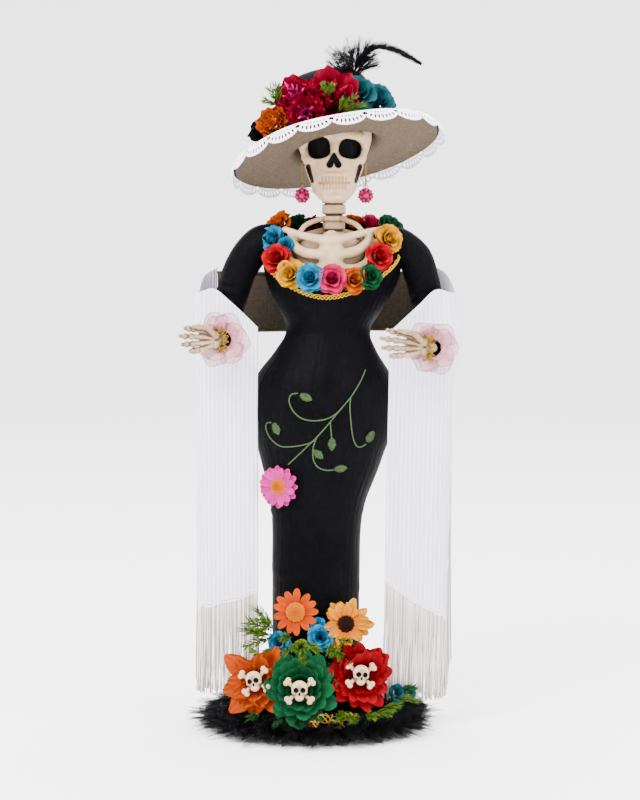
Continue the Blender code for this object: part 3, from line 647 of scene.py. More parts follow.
def rose(centre, facing, radius, colour, seed, work=None, look=0, depth=1.0):
    """A folded paper rose: a wound bud in four rings of petals that curl over at their rims."""
    bloom = Bloom(centre, facing, seed, work, roll=seed * 37)
    s = radius / 12.5
    low = -4.5 * s
    # Darkened and lightened copies of the one colour: painted shade at the petal roots and the bud's base,
    # painted highlight at the rims.
    deep, rim = darker(colour, 0.42), lighter(colour, 0.12)
    bloom.spiral(2.6, 0.5 * s, 3.1 * s, low, low + 10.5 * s * depth, deep, rim, look)
    shared = dict(tip=0.58, square=0.86, widest=0.66, base=0.55, rows=7, columns=8, look=look, waves=2,
                  jitter=7)
    bloom.ring(3, 2.4 * s, low, deep, rim, length=10.2 * s, width=9.2 * s, lift=90, bend=-14, cup=0.50,
               ruffle=0.3 * s, **shared)
    bloom.ring(4, 3.7 * s, low, deep, rim, 25, length=10.4 * s, width=12.0 * s, lift=84, bend=-42, cup=0.42,
               ruffle=0.5 * s, **shared)
    bloom.ring(5, 5.0 * s, low, deep, rim, 50, length=10.2 * s, width=13.6 * s, lift=72, bend=-76, cup=0.30,
               ruffle=0.7 * s, **shared)
    bloom.ring(6, 5.4 * s, low, deep, colour, 12, length=9.2 * s, width=14.0 * s, lift=42, bend=-66, cup=0.20,
               ruffle=0.8 * s, **shared)
    return bloom


def peony(centre, facing, radius, colour, heart, seed, work=None, look=0):
    """A full silk bloom with broad ruffled petals and a paler frilled heart."""
    bloom = Bloom(centre, facing, seed, work, roll=seed * 53)
    r = radius
    low = -0.35 * r
    # Darkened and lightened copies of the one colour, and of the heart's: painted shade at the petal roots,
    # painted highlight at the rims.
    deep, rim = darker(colour, 0.36), lighter(colour, 0.14)
    shared = dict(rows=9, columns=13, look=look, tip=0.72, square=0.78, widest=0.66, base=0.45, jitter=9,
                  vary=0.08, waves=2)
    bloom.ring(6, 0.16 * r, low, deep, rim, length=1.14 * r, width=1.25 * r, lift=14, bend=56, cup=0.10,
               ruffle=0.09 * r, **shared)
    bloom.ring(5, 0.13 * r, low, deep, rim, 26, length=1.06 * r, width=1.22 * r, lift=34, bend=46, cup=0.18,
               ruffle=0.10 * r, **shared)
    bloom.ring(5, 0.10 * r, low, deep, rim, 50, length=0.98 * r, width=1.05 * r, lift=52, bend=34, cup=0.26,
               ruffle=0.08 * r, **shared)
    bloom.ring(4, 0.08 * r, low, deep, rim, 20, length=0.9 * r, width=0.85 * r, lift=68, bend=20, cup=0.36,
               ruffle=0.09 * r, **shared)
    bloom.ring(9, 0.12 * r, low + 0.35 * r, darker(heart, 0.5), lighter(heart, 0.3), 15, length=0.6 * r,
               width=0.26 * r, lift=66, bend=-20, rows=5, columns=5, ruffle=0.04 * r, jitter=14, vary=0.2,
               look=look)
    return bloom


def dahlia(centre, facing, rings, deep, rim, seed, look=0, **shape):
    """A big silk flower. Each of its rings, from the outside in, is (count, offset, length, width, lift,
    bend), in mm and degrees."""
    bloom = Bloom(centre, facing, seed)
    for k, (count, offset, length, width, lift, bend) in enumerate(rings):
        bloom.ring(count, offset, -5 + k * 1.2, deep, rim, first=k * 180 / count + k * 7, length=length,
                   width=width, lift=lift, bend=bend, look=look, **shape)
    return bloom


def daisy(centre, facing, radius, disc, count, petal_colours, disc_colours, seed, layers=1, work=None,
          **shape):
    """A flat daisy: one or two rings of straps round a disc of florets."""
    bloom = Bloom(centre, facing, seed, work)
    width = 1.12 * TAU * (0.62 * radius) / count
    wanted = dict(base=0.5, widest=0.66, tip=0.5, square=0.86, cup=0.12, rows=8, columns=9, jitter=2.0,
                  vary=0.04, ruffle=0.35, waves=2)
    wanted.update(shape)
    for layer in range(layers):
        bloom.ring(count, disc * 0.7, -1.2 + 1.4 * layer, *petal_colours, first=layer * 180 / count,
                   length=(radius - disc * 0.7) * (1 - 0.1 * layer), width=width, lift=6 + 9 * layer,
                   bend=-8, **wanted)
    bloom.dome(disc, 2.2, 110, 0.6, *disc_colours)
    return bloom


def sprig(work, start, toward, length, rng, colours, needle=6.5, pairs=11, look=0, droop=0.0):
    """A plastic fern sprig: a curved stem with needles all round it."""
    toward = unit(vec(toward))
    side = unit(np.cross(toward, rng.normal(size=3)))
    t = np.linspace(0, 1, 7)[:, None]
    route = vec(start) + toward * length * t + side * length * 0.12 * t ** 2 - vec((0, 0, droop)) * t ** 2
    work.tube(route, np.linspace(0.55, 0.25, 7), darker(colours[0], 0.7), sides=4, look=look)
    for i in range(pairs):
        at = (i + 1) / (pairs + 0.5)
        root = route[0] + (route[-1] - route[0]) * at + side * length * 0.12 * (at ** 2 - at)
        for k in range(4):
            round_stem = spin(k * 90 + i * 40 + rng.normal(0, 12))
            out = unit(np.cross(toward, round_stem @ unit(rng.normal(size=3) + side)))
            way = unit(out + toward * 1.35)
            size = 1.25 * needle * (1 - 0.3 * at) * rng.uniform(0.75, 1.15)
            tip = root + way * size + toward * size * 0.15
            shade = blend_of(colours[0], colours[1], rng.uniform(0, 1))
            middle = (root + tip) / 2 + out * 0.4
            work.tube([root, middle, tip], (0.34, 0.45, 0.12), shade, sides=4, look=look)


def leaf(work, root, toward, facing, length, width, colour, look=0, bend=-30):
    """A veined leaf from root, growing toward a point and turned to face a way."""
    grid = petal(length, width, 8, bend, base=0.15, widest=0.42, tip=0.03, square=1.0, cup=0.25, rows=8,
                 columns=5)
    forward = unit(vec(toward))
    up = unit(vec(facing) - forward * (vec(facing) @ forward))
    turn = np.stack([forward, np.cross(up, forward), up], axis=1)
    placed = grid @ turn.T + vec(root)
    vein = np.where(np.arange(5) == 2, 0.6, 1.0)[None, :, None]
    work.grid(placed, petal_tint(placed, darker(colour, 0.7), colour) * vein, look=look)


# ---------------------------------------------------------------- the body's shape

def hermite(stations, at):
    """The stations' values at one or many places, on a smooth curve through them."""
    stations = np.array(stations, float)
    place, value = stations[:, 0], stations[:, 1:]
    slope = np.gradient(value, place, axis=0)
    at = np.clip(np.asarray(at, float), place[0], place[-1])
    i = np.clip(np.searchsorted(place, at) - 1, 0, len(place) - 2)
    gap = place[i + 1] - place[i]
    t = ((at - place[i]) / gap)[..., None]
    gap = gap[..., None]
    return ((2 * t ** 3 - 3 * t ** 2 + 1) * value[i] + (t ** 3 - 2 * t ** 2 + t) * gap * slope[i]
            + (3 * t ** 2 - 2 * t ** 3) * value[i + 1] + (t ** 3 - t ** 2) * gap * slope[i + 1])


def body_at(angle, height, out=0.0):
    """Points on the body. An angle of 0 is the front, in radians; out is how far outside, in mm."""
    angle, height = np.broadcast_arrays(np.asarray(angle, float), np.asarray(height, float))
    centre, wide, deep = np.moveaxis(hermite(BODY_STATIONS, height), -1, 0)
    return np.stack([centre + (wide + out) * np.sin(angle), -(deep + out) * np.cos(angle), height], -1)


def neckline(angle):
    return NECKLINE_BACK - NECKLINE_DROP * ((1 + np.cos(angle)) / 2) ** 2


def waves(a, b, seed, count=9, spread=1.0):
    """Smooth random unevenness between -1 and 1 over two coordinates."""
    rng = np.random.default_rng(seed)
    total = 0
    for _ in range(count):
        way, phase = rng.uniform(0, TAU), rng.uniform(0, TAU)
        pace = rng.uniform(0.5, 1.6) * spread
        total = total + np.sin(pace * (a * math.cos(way) + b * math.sin(way)) + phase)
    return total / math.sqrt(count) / 1.6


def crinkle(round_mm, height):
    """How far the dress cloth stands out of its smooth shape, in mm: upright pleats, creases and slack."""
    narrow = 0.13 * waves(round_mm * 1.7, height * 0.05, 5, 12)
    pleats = narrow + 0.12 * waves(round_mm * 0.8, height * 0.03, 6, 8)
    slack = 0.5 * waves(round_mm * 0.05, height * 0.09, 7, 8)
    creases = 0
    for level, depth, seed in ((363, 0.9, 1), (262, 0.8, 2), (197, 0.9, 3), (143, 0.9, 4), (120, 0.6, 8)):
        off = height - level - 5 * waves(round_mm * 0.035, 0, 20 + seed, 5)
        strength = depth * (0.5 + 0.5 * waves(round_mm * 0.03, 0, 40 + seed, 4))
        creases = creases + strength * (np.exp(-((off - 3) / 2.6) ** 2) - np.exp(-(off / 1.8) ** 2))
    return pleats + slack + creases


def make_dress():
    """The fitted black dress, open at its neckline."""
    columns, rows = 300, 112
    angle = circle(columns)[None]
    share = np.linspace(0, 1, rows)[:, None]
    height = 15 + share * (neckline(angle) - 15)
    around = angle * 58
    out = crinkle(np.minimum(around, TAU * 58 - around) * np.sign(math.pi - angle), height)
    work = Patchwork()
    work.grid(body_at(angle, height, out + 0.2), PAINT["black"], closed=True)
    rim = np.stack([body_at(angle[0], neckline(angle[0]), d) + (0, 0, z)
                    for d, z in ((0.4, -0.6), (1.1, 0.3), (0.7, 1.3), (-0.6, 1.2), (-1.4, 0.2), (-1.3, -3))])
    work.grid(rim, PAINT["black"], closed=True)
    return work.piece("dress_cloth", ["black_cloth"], "black_cloth", ["dress"], thickness=0.8)


SLEEVES = {
    "right": ((-36, 0, 451), (-50, 0, 447.5), (-61, 0, 436), (-70, 0.5, 421), (-76, 1, 403), (-82, 1, 382),
              (-83, -8, 366), (-83, -28, 360), (-83, -58, 360)),
    "left": ((66, 0, 450), (79, 0, 443.5), (91, 0, 432), (97, 0.5, 416), (101, 1, 400), (105, 1, 380),
             (105, -8, 361), (104, -28, 354), (104, -60, 353)),
}
SLEEVE_RADII = (13.5, 15, 15.5, 15, 14.5, 14, 13, 11, 8)


def make_sleeve(side):
    """A long sleeve, wrinkled at the elbow and hemmed at the wrist."""
    route = smooth_route(SLEEVES[side], 12)
    radius = np.interp(np.linspace(0, 1, len(route)), np.linspace(0, 1, len(SLEEVE_RADII)), SLEEVE_RADII)
    columns = 56
    turn = circle(columns)
    ahead = directions(route)
    length = run_of(route)
    elbow = np.exp(-((length - 92) / 26) ** 2)
    grid = []
    across = unit(np.cross(ahead[0], (0, 1, 0)))
    for i, centre in enumerate(route):
        across = unit(across - ahead[i] * (across @ ahead[i]))
        other = np.cross(ahead[i], across)
        inner = 0.4 + 0.6 * np.cos(turn - 2)
        fold = elbow[i] * 1.3 * np.sin(length[i] * 0.75 + 1.5 * np.sin(turn + 1)) * inner
        fine = 0.35 * waves(turn * 9, length[i] * 0.12, 11 if side == "left" else 12, 10)
        r = radius[i] + fold + fine
        grid.append(centre + r[:, None] * (np.cos(turn)[:, None] * across + np.sin(turn)[:, None] * other))
    work = Patchwork()
    work.grid(np.array(grid), PAINT["black"], closed=True)
    hem = route[-1]
    ring = np.cos(turn)[:, None] * across + np.sin(turn)[:, None] * other
    rim = np.stack([hem + ahead[-1] * a + ring * r
                    for r, a in ((8.0, -3), (8.9, -1.5), (8.8, 0.4), (7.6, 0.5), (7.0, -4))])
    work.grid(rim, PAINT["black"], closed=True)
    return work.piece(f"sleeve_{side}_cloth", ["black_cloth"], "black_cloth", [f"sleeve_{side}"],
                      thickness=0.7)


def make_core():
    """The moulded papier-mache body under the dress: a hollow shell, lumpy where its strips overlap."""
    columns, rows = 120, 80
    angle = circle(columns)
    shell = []
    for inset, order in ((2.2, 1), (5.2, -1)):
        side = []
        for share in np.linspace(0, 1, rows)[::order]:
            height = 17 + share * (neckline(angle) - 2.5 - 17)
            side.append(body_at(angle, height, -inset - 0.25 * waves(angle * 7, height * 0.09, 9)))
        shell += side
    shell.append(shell[0])
    work = Patchwork()
    work.grid(np.array(shell), PAINT["bone"], closed=True)
    return work.piece("moulded_core", ["paper"], "paper", ["body_shell"])


def make_shade_lining():
    """A dark cloth bowl inside the neckline, behind the ribs, that stands in for the shade in the chest
    hollow.
    """
    angle = circle(120)
    rows = []
    for share, inset in ((0, 6.2), (0.08, 6.8), (0.35, 8), (0.7, 11), (1, 16)):
        height = neckline(angle) * (1 - share) + 388 * share
        rows.append(body_at(angle, height - 1.5, -inset - 0.3 * waves(angle * 12, share * 3, 3)))
    floor = [body_at(angle, np.full(120, 386.0 - k), -inset) for k, inset in ((0, 22), (1, 33))]
    work = Patchwork()
    work.grid(np.array(rows + floor), PAINT["black"], closed=True)
    return work.piece("chest_shade_sheet", ["black_cloth"], "black_cloth", thickness=0.5)


# ---------------------------------------------------------------- cast bone: skull, neck, ribs, hands

def make_skull():
    """The cast skull: matt black sockets and nose, dark cheek slots, low relief teeth."""
    volume = Volume((-39, -47, 479), (39, 46, 581), 0.8)
    at = volume.at
    right_left = (-1, 1)
    volume.join(egg(at, (0, 3, 545), (34.5, 40, 33.5)), 1)
    volume.join(egg(at, (0, -17, 519), (23, 20, 21)), 8)
    volume.join(egg(at, (0, -22, 507), (17, 16, 14)), 6)
    volume.join(bar(at, (-6, -34.5, 542.5), (6, -34.5, 542.5), 3.6), 6)
    volume.join(bar(at, (0, -35, 538), (0, -38.5, 529), 3.2, 3.0), 4)
    for side in right_left:
        volume.join(egg(at, (side * 19.2, -24, 520.5), (7.4, 8, 6)), 5)
        volume.join(bar(at, (side * 22, -20, 520.5), (side * 27, 2, 524), 3.2, 2.8), 4)
        volume.join(bar(at, (side * 7, -35.5, 542.5), (side * 24, -28.5, 541), 4.0, 3.6), 5)
        rim = [(side * 25, -27, 541), (side * 28.5, -23, 532), (side * 25, -24, 522)]
        volume.join(chain(at, rim, 3.2), 4)
        volume.join(bar(at, (side * 17, -12, 496), (side * 24.2, -3, 516), 2.8, 2.8), 3)
        jaw = [(side * 6, -32, 489), (side * 11, -25, 490), (side * 14, -15, 493)]
        volume.join(chain(at, jaw, (5.2, 4.8, 4)), 4)
    volume.join(egg(at, (0, -17, 503), (20.4, 15.5, 17)), 4)
    volume.join(egg(at, (0, -30, 488.5), (10.5, 9, 6)), 5)
    arch = (np.hypot(at[..., 0] / 15, (at[..., 1] + 23) / 16.2) - 1) * 15
    volume.join(np.maximum(arch, np.abs(at[..., 2] - 500) - 8.5), 2.5)

    sockets = None
    for x, z, wide, tall, lean in ((-13.6, 531.7, 9.6, 9.2, 8), (14.1, 530.8, 9.7, 8.4, -8)):
        offset = at - vec((x, 0, z)).astype(np.float32)
        c, s = math.cos(math.radians(lean)), math.sin(math.radians(lean))
        a = (offset[..., 0] * c + offset[..., 2] * s) / wide
        b = (offset[..., 2] * c - offset[..., 0] * s) / tall
        outline = ((np.abs(a) ** 2.7 + np.abs(b) ** 2.7) ** (1 / 2.7) - 1) * 8.8
        one = np.maximum(outline, at[..., 1] + 24.5 - 0.55 * np.maximum(0, np.abs(at[..., 0]) - 15))
        sockets = one if sockets is None else np.minimum(sockets, one)
    volume.cut(sockets, 1.6)

    dz = at[..., 2]
    seen = np.stack([at[..., 0], np.zeros_like(dz), dz], -1)
    nostrils = [bar(seen, (-0.3, 0, 526), (x, 0, 516.6), 1.1, 2.8) for x in (-4.0, 3.4)]
    nose = np.maximum(np.minimum(*nostrils), at[..., 1] + 33.2)
    volume.cut(nose, 1.0)

    slots = None
    for side in right_left:
        one = bar(at, (side * 23.4, -20, 515), (side * 19.4, -24, 502), 2.4, 1.4)
        for ahead in (3.5, 7):
            cut = bar(at, (side * 23.6, -20 - ahead, 515), (side * 20, -24 - ahead, 502), 2.4, 1.4)
            one = np.minimum(one, cut)
        slots = one if slots is None else np.minimum(slots, one)
    volume.cut(slots, 1.0)

    grooves = None

    def front(x):
        return -23 - 16.2 * math.sqrt(max(0.05, 1 - (x / 15) ** 2))

    for upper, pitch in ((True, 3.0), (False, 2.8)):
        low, high = (500.8, 506.4) if upper else (494.2, 499.4)
        for k in range(-3, 5):
            x = (k - (0.5 if upper else 0.4)) * pitch
            groove = bar(at, (x, front(x), low + 0.6), (x, front(x), high - 0.6), 0.34)
            grooves = groove if grooves is None else np.minimum(grooves, groove)
    bite = [(x, front(x), 500.1 + 0.4 * math.cos(x)) for x in np.linspace(-13.5, 13.5, 15)]
    grooves = np.minimum(grooves, chain(at, bite, 0.5))
    volume.cut(grooves, 1.2)

    points, quads, deep = volume.surface()
    tint = bone_tint(np.clip(deep * 0.62 - 0.05, 0, 1), 31, points, 0.09)
    cheeks = np.exp(-((points[:, 2] - 503) / 9) ** 2) * np.clip(-points[:, 1] / 40, 0, 1) * 0.16
    tint = tint * (1 - cheeks[:, None]) + vec((0.36, 0.16, 0.06)) * cheeks[:, None]
    volume.field = sockets
    tint[volume.sample(points) < 0.45] = PAINT["socket"]
    volume.field = nose
    tint[volume.sample(points) < 0.35] = PAINT["socket"]
    seen = points * (1, 0, 1)
    for side in right_left:
        inside = bar(seen, (side * 23.6, 0, 515.4), (side * 19.6, 0, 501.6), 2.3, 1.4) < 0
        tint[inside & (points[:, 1] < 14)] = PAINT["slot"]
    volume.field = grooves
    line = np.clip(1 - volume.sample(points) / 0.9, 0, 1)[:, None] * 0.5
    tint = tint * (1 - line) + vec(PAINT["recess_brown"]) * 3 * line
    work = Patchwork()
    work.add(points + (SKULL_X, 0, 0), quads, tint)
    return work.piece("skull_casting", ["bone"], "bone", ["skull"])


def make_neck():
    """A column of stacked neck bones."""
    volume = Volume((-14, -9, 419), (14, 21, 502), 0.7)
    at = volume.at
    volume.join(bar(at, (0, 6, 422), (0, 6, 500), 7.5), 1)
    away = np.hypot(at[..., 0], at[..., 1] - 6)
    waist = 0.9 * np.cos(np.arctan2(at[..., 0], at[..., 1] - 6) * 4)
    for level, radius, tall in ((426, 10.2, 5.4), (439, 10.2, 5.4), (451.5, 9.8, 5.4), (462.6, 10.4, 4.0),
                                (468.8, 12.2, 2.4), (477.4, 11.2, 4.6), (484.5, 11.6, 1.4), (492.5, 10.4, 5)):
        across, up = away - radius + 1.8 + 0.25 * waist, np.abs(at[..., 2] - level) - tall + 1.8
        corner = np.hypot(np.maximum(across, 0), np.maximum(up, 0))
        drum = corner + np.minimum(np.maximum(across, up), 0) - 1.8
        volume.join(drum.astype(np.float32), 1.4)
    points, quads, deep = volume.surface()
    work = Patchwork()
    work.add(points + (SKULL_X, 0, 0), quads, bone_tint(deep * 0.85, 32, points, 0.14))
    return work.piece("neck_bones", ["bone"], "bone", ["neck"])


def make_ribcage():
    """Breastbone, collar bones and ribs as one casting."""
    volume = Volume((-48, -44, 416), (78, 26, 476), 0.8)
    at = volume.at

    def front(x, grow=0.0):
        return -36 + grow + 19 * ((x - 14) / 42) ** 2

    def bent(points, thick, soft=2.5, grow=0.0):
        route = smooth_route([(x, front(x, grow), z) for x, z in points], 4)
        radius = np.interp(np.linspace(0, 1, len(route)), np.linspace(0, 1, len(np.atleast_1d(thick))),
                           np.atleast_1d(thick))
        volume.join(chain(at, route, radius), soft)

    volume.join(egg(at, (14, -34.5, 440), (11, 4.2, 18)), 3)
    volume.join(egg(at, (14, -35.0, 427), (11, 3.8, 11)), 3)
    bent([(-28, 458.5), (-10.8, 452.8), (4, 450), (14, 449.2), (24, 450.5), (35.7, 453.8), (57, 458.5)],
         (2.8, 3.3, 3.8, 4.0, 3.8, 3.3, 2.8), 3)
    bent([(6, 436), (-6.5, 436.8), (-15, 440), (-20.3, 446), (-22, 452.5)], (4.8, 4.6, 4.5, 4.0, 3.2), 3, 1.0)
    bent([(22, 436.4), (35.7, 439), (44, 445), (47.5, 453)], (4.8, 4.6, 4.2, 3.2), 3, 1.0)
    bent([(6, 424), (-5, 422.6), (-14, 424.5), (-22, 430), (-26, 438)], (4.6, 4.5, 4.3, 3.6, 3.0), 3, 1.6)
    bent([(22, 424), (32, 422.6), (41, 425), (47, 431), (48.5, 441), (49, 452)],
         (4.6, 4.5, 4.3, 3.6, 3.0, 2.6), 3, 1.6)
    x, y, z = np.moveaxis(at, -1, 0)
    floor = np.abs(y - front(x, 10.5)) - 1.6
    outline = (np.hypot((x - 14) / 40, (z - 434) / 19) - 1) * 19
    volume.join(np.maximum(floor, outline).astype(np.float32), 2)
    for side in (-1, 1):
        ring = [(14 + side * 9.5, -4, 468.5), (14 + side * 22, -13, 463.5), (14 + side * 28, -20, 457),
                (14 + side * 31, -23, 451)]
        volume.join(chain(at, smooth_route(ring, 4), 2.3), 2)
        for z, drop in ((457, 4), (444, 3), (431, 2)):
            back = [(14 + side * 8, 10, z), (14 + side * 24, 16, z - drop), (14 + side * 36, 8, z - 2 * drop),
                    (14 + side * 40, -6, z - 3 * drop)]
            volume.join(chain(at, smooth_route(back, 4), 3.6), 1.5)
    points, quads, deep = volume.surface()
    # Parts further back, up to the back ribs inside the neckline, are painted darker: painted shade.
    behind = np.clip((points[:, 1] + 22) / 30, 0, 1)
    tint = bone_tint(np.clip(deep * 0.85 - 0.08 + 0.42 * behind, 0, 1), 33, points, 0.10)
    work = Patchwork()
    work.add(points, quads, tint)
    return work.piece("ribcage_casting", ["bone"], "bone", ["ribcage"])


HANDS = {
    "right": dict(wrist=(-83, -61, 360), along=(-0.84, -0.54, -0.04), shorter=5, curl=15),
    "left": dict(wrist=(104, -71, 353), along=(-0.985, -0.16, 0.06), shorter=0, curl=7),
}


def hand_axes(side):
    """The wrist and the hand's own directions: along its fingers, toward its thumb and out of its back."""
    along = unit(vec(HANDS[side]["along"]))
    out = unit(np.cross(along, (0, 0, 1)))
    if out[1] > 0:
        out = -out
    up = unit(np.cross(along, out))
    if up[2] < 0:
        up = -up
    return vec(HANDS[side]["wrist"]), along, up, out


def make_hand(side):
    """A skeletal hand: separate palm rods, jointed fingers, wrist knuckles."""
    wrist, along, up, out = hand_axes(side)
    facts = HANDS[side]

    def spot(a, u, o):
        return wrist + along * a + up * u + out * o

    low = np.min([spot(a, u, o) for a in (-4, 50) for u in (-14, 20) for o in (-12, 12)], axis=0)
    high = np.max([spot(a, u, o) for a in (-4, 50) for u in (-14, 20) for o in (-12, 12)], axis=0)
    low, high = np.minimum(low, wrist - 14), np.maximum(high, wrist + 14)
    volume = Volume(low, high, 0.6)
    at = volume.at
    volume.join(bar(at, wrist + (0, 7, 0), spot(4, 0, 0), 4.2, 4.6), 1)
    for u, o in ((4, 1), (-3, 1), (0.5, -2)):
        volume.join(egg(at, spot(8, u, o), (4.0,) * 3), 1)
    curl = math.radians(facts["curl"])
    for rise, length in zip((10.4, 4.4, -1.6, -7.4), (42, 47, 45, 38)):
        length -= facts["shorter"]
        joints = [spot(9, rise * 0.42, 0.5), spot(23, rise * 0.95, 1.5)]
        angle, place, reach = 0.0, (23.0, 1.5), length - 23
        for share in (0.46, 0.30, 0.24):
            angle += curl
            place = (place[0] + reach * share * math.cos(angle), place[1] - reach * share * math.sin(angle))
            joints.append(spot(place[0], rise * (0.95 + 0.02 * (place[0] - 23)), place[1]))
        for a, b, thick in zip(joints, joints[1:], (2.3, 2.1, 1.85, 1.5)):
            middle = (a + b) / 2
            volume.join(bar(at, a, middle, thick + 0.45, thick - 0.15), 0.5)
            volume.join(bar(at, middle, b, thick - 0.15, thick + 0.4), 0.5)
        for joint in joints[1:-1]:
            volume.join(egg(at, joint, (2.9, 2.9, 2.9)), 0.7)
    thumb = [spot(9, 4, 2), spot(19, 12, 5), spot(27, 13.5, 6.5), spot(33, 14, 6)]
    volume.join(chain(at, thumb, (2.6, 2.3, 2.2, 1.7)), 0.8)
    for joint in thumb[1:3]:
        volume.join(egg(at, joint, (2.5,) * 3), 0.8)
    points, quads, deep = volume.surface()
    work = Patchwork()
    work.add(points, quads, bone_tint(np.clip(deep * 1.3 + 0.28, 0, 1), 34, points, 0.22))
    return work.piece(f"hand_{side}_casting", ["bone"], "bone", [f"hand_{side}"])


def make_charm(name, centre, facing, seed, roll):
    """A small cast skull over crossed bones, on a big flower."""
    volume = Volume((-17, -15, -6), (17, 15, 8), 0.42)
    at = volume.at
    for side in (-1, 1):
        ends = ((side * 12.2, 9.2, -0.8), (-side * 11.2, -9.2, -0.8))
        volume.join(bar(at, *ends, 2.0), 0.8)
        for end in ends:
            for tilt in (1, -1):
                away = unit(np.cross(vec(ends[0]) - vec(ends[1]), (0, 0, 1))) * tilt * 1.8
                volume.join(egg(at, vec(end) + away, (2.9, 2.9, 2.7)), 0.9)
    volume.join(egg(at, (0, 2.4, 1.5), (8.1, 7.8, 5.6)), 1)
    for side in (-1, 1):
        volume.join(egg(at, (side * 4.6, -1.4, 2.6), (3.2, 2.2, 3.2)), 1)
    volume.join(egg(at, (0, -6.0, 1.5), (4.6, 4.2, 4.2)), 2)
    sockets = np.minimum(*(egg(at, (x, 0.2, 6.4), (2.5, 2.4, 2.6)) for x in (-3.5, 3.5)))
    sockets = np.minimum(sockets, egg(at, (0, -3.6, 6.4), (1.0, 1.5, 1.8)))
    volume.cut(sockets, 0.5)
    for x in (-2.4, -0.8, 0.8, 2.4):
        volume.cut(bar(at, (x, -9, 5.6), (x, -6.4, 6.2), 0.35), 0.4)
    points, quads, deep = volume.surface()
    tint = bone_tint(np.clip(deep * 1.1, 0, 1), seed, points * 3, 0.08) * 1.08
    volume.field = sockets
    tint[volume.sample(points) < 0.35] = PAINT["socket"]
    turn = basis(facing) @ spin(roll)
    work = Patchwork()
    work.add(0.9 * points @ turn.T + vec(centre), quads, tint)
    return work.piece(name + "_casting", ["bone"], "bone", [name])


# ---------------------------------------------------------------- hat

HAT_TURN = (spin(math.degrees(HAT_ROLL), "Y") @ spin(-math.degrees(HAT_TILT), "X"))


def on_hat(points):
    """Points given in the hat's own place, with z up through the crown."""
    return np.asarray(points, float) @ HAT_TURN.T + vec(HAT_CENTRE)


def turned(profile, columns, uneven=0.0, seed=1, pace=6):
    """A turned surface in the hat's place, slightly out of true."""
    turn = circle(columns)
    rows = []
    for radius, height in profile:
        lift = uneven * waves(np.cos(turn) * pace, np.sin(turn) * pace, seed) * min(1, radius / 60)
        rows.append(np.stack([radius * np.cos(turn), radius * np.sin(turn), height + lift], -1))
    return on_hat(np.array(rows))


def resampled(profile, count):
    """Evenly spaced points along a smooth profile."""
    route = smooth_route([(*p, 0) for p in profile], 8)[:, :2]
    along = run_of(route)
    at = np.linspace(0, along[-1], count)
    return np.stack([np.interp(at, along, route[:, k]) for k in range(2)], -1)


def make_brim():
    """The wide brim: stiffened burlap under, black cloth on top, a rolled edge."""
    work = Patchwork()
    under = resampled([(46, -0.8), (65, 0.2), (83, -1.3), (92, -3.6), (94.2, -4.5)], 30)
    over = resampled([(94.2, -4.5), (95.3, -3.9), (95.2, -2.8), (83, 0.7), (65, 2.0), (46, 1.2)], 26)
    work.grid(turned(under, 220, 0.7), PAINT["white"], closed=True, look=0)
    work.grid(turned(over, 220, 0.7), PAINT["black"], closed=True, look=1)
    lining = resampled([(46, -0.8), (42, -0.4), (38.5, 2.5), (36.5, 9), (36, 18)], 14)
    work.grid(turned(lining, 220, 0.7), PAINT["white"], closed=True, look=0)
    return work.piece("brim_burlap", ["burlap", "black_cloth"], "burlap", ["hat_brim"])


def make_crown():
    """The black crown with its dented top and a ribbon band."""
    profile = resampled([(0.4, 69.5), (12, 69.8), (26, 68.2), (36, 63.5), (42, 56), (45.4, 46), (47.2, 34),
                         (48, 18), (48.2, 2.2)], 50)
    turn = circle(150)
    rows = []
    for radius, height in profile:
        out = 0.5 * waves(turn * 10, height * 0.05, 61, 10) * min(1, radius / 20)
        crease = 0.8 * waves(np.cos(turn) * 3, height * 0.12, 62)
        rows.append(np.stack([(radius + out + crease * 0.4) * np.cos(turn), (radius + out) * np.sin(turn),
                              height + crease * 0.4 + 0 * turn], -1))
    work = Patchwork()
    work.grid(on_hat(np.array(rows)), PAINT["black"], closed=True)
    band = resampled([(48.4, 16), (49.8, 15.5), (50.2, 10), (50.1, 5), (49.2, 3.4), (48.4, 3.2)], 14)
    work.grid(turned(band, 150, 0.5, 63, 9), PAINT["black"], closed=True)
    return work.piece("crown_cloth", ["black_cloth"], "black_cloth", ["hat_crown"], thickness=0.5)


LACE_SCALLOPS = 20
LACE_WIDTH = 17.5


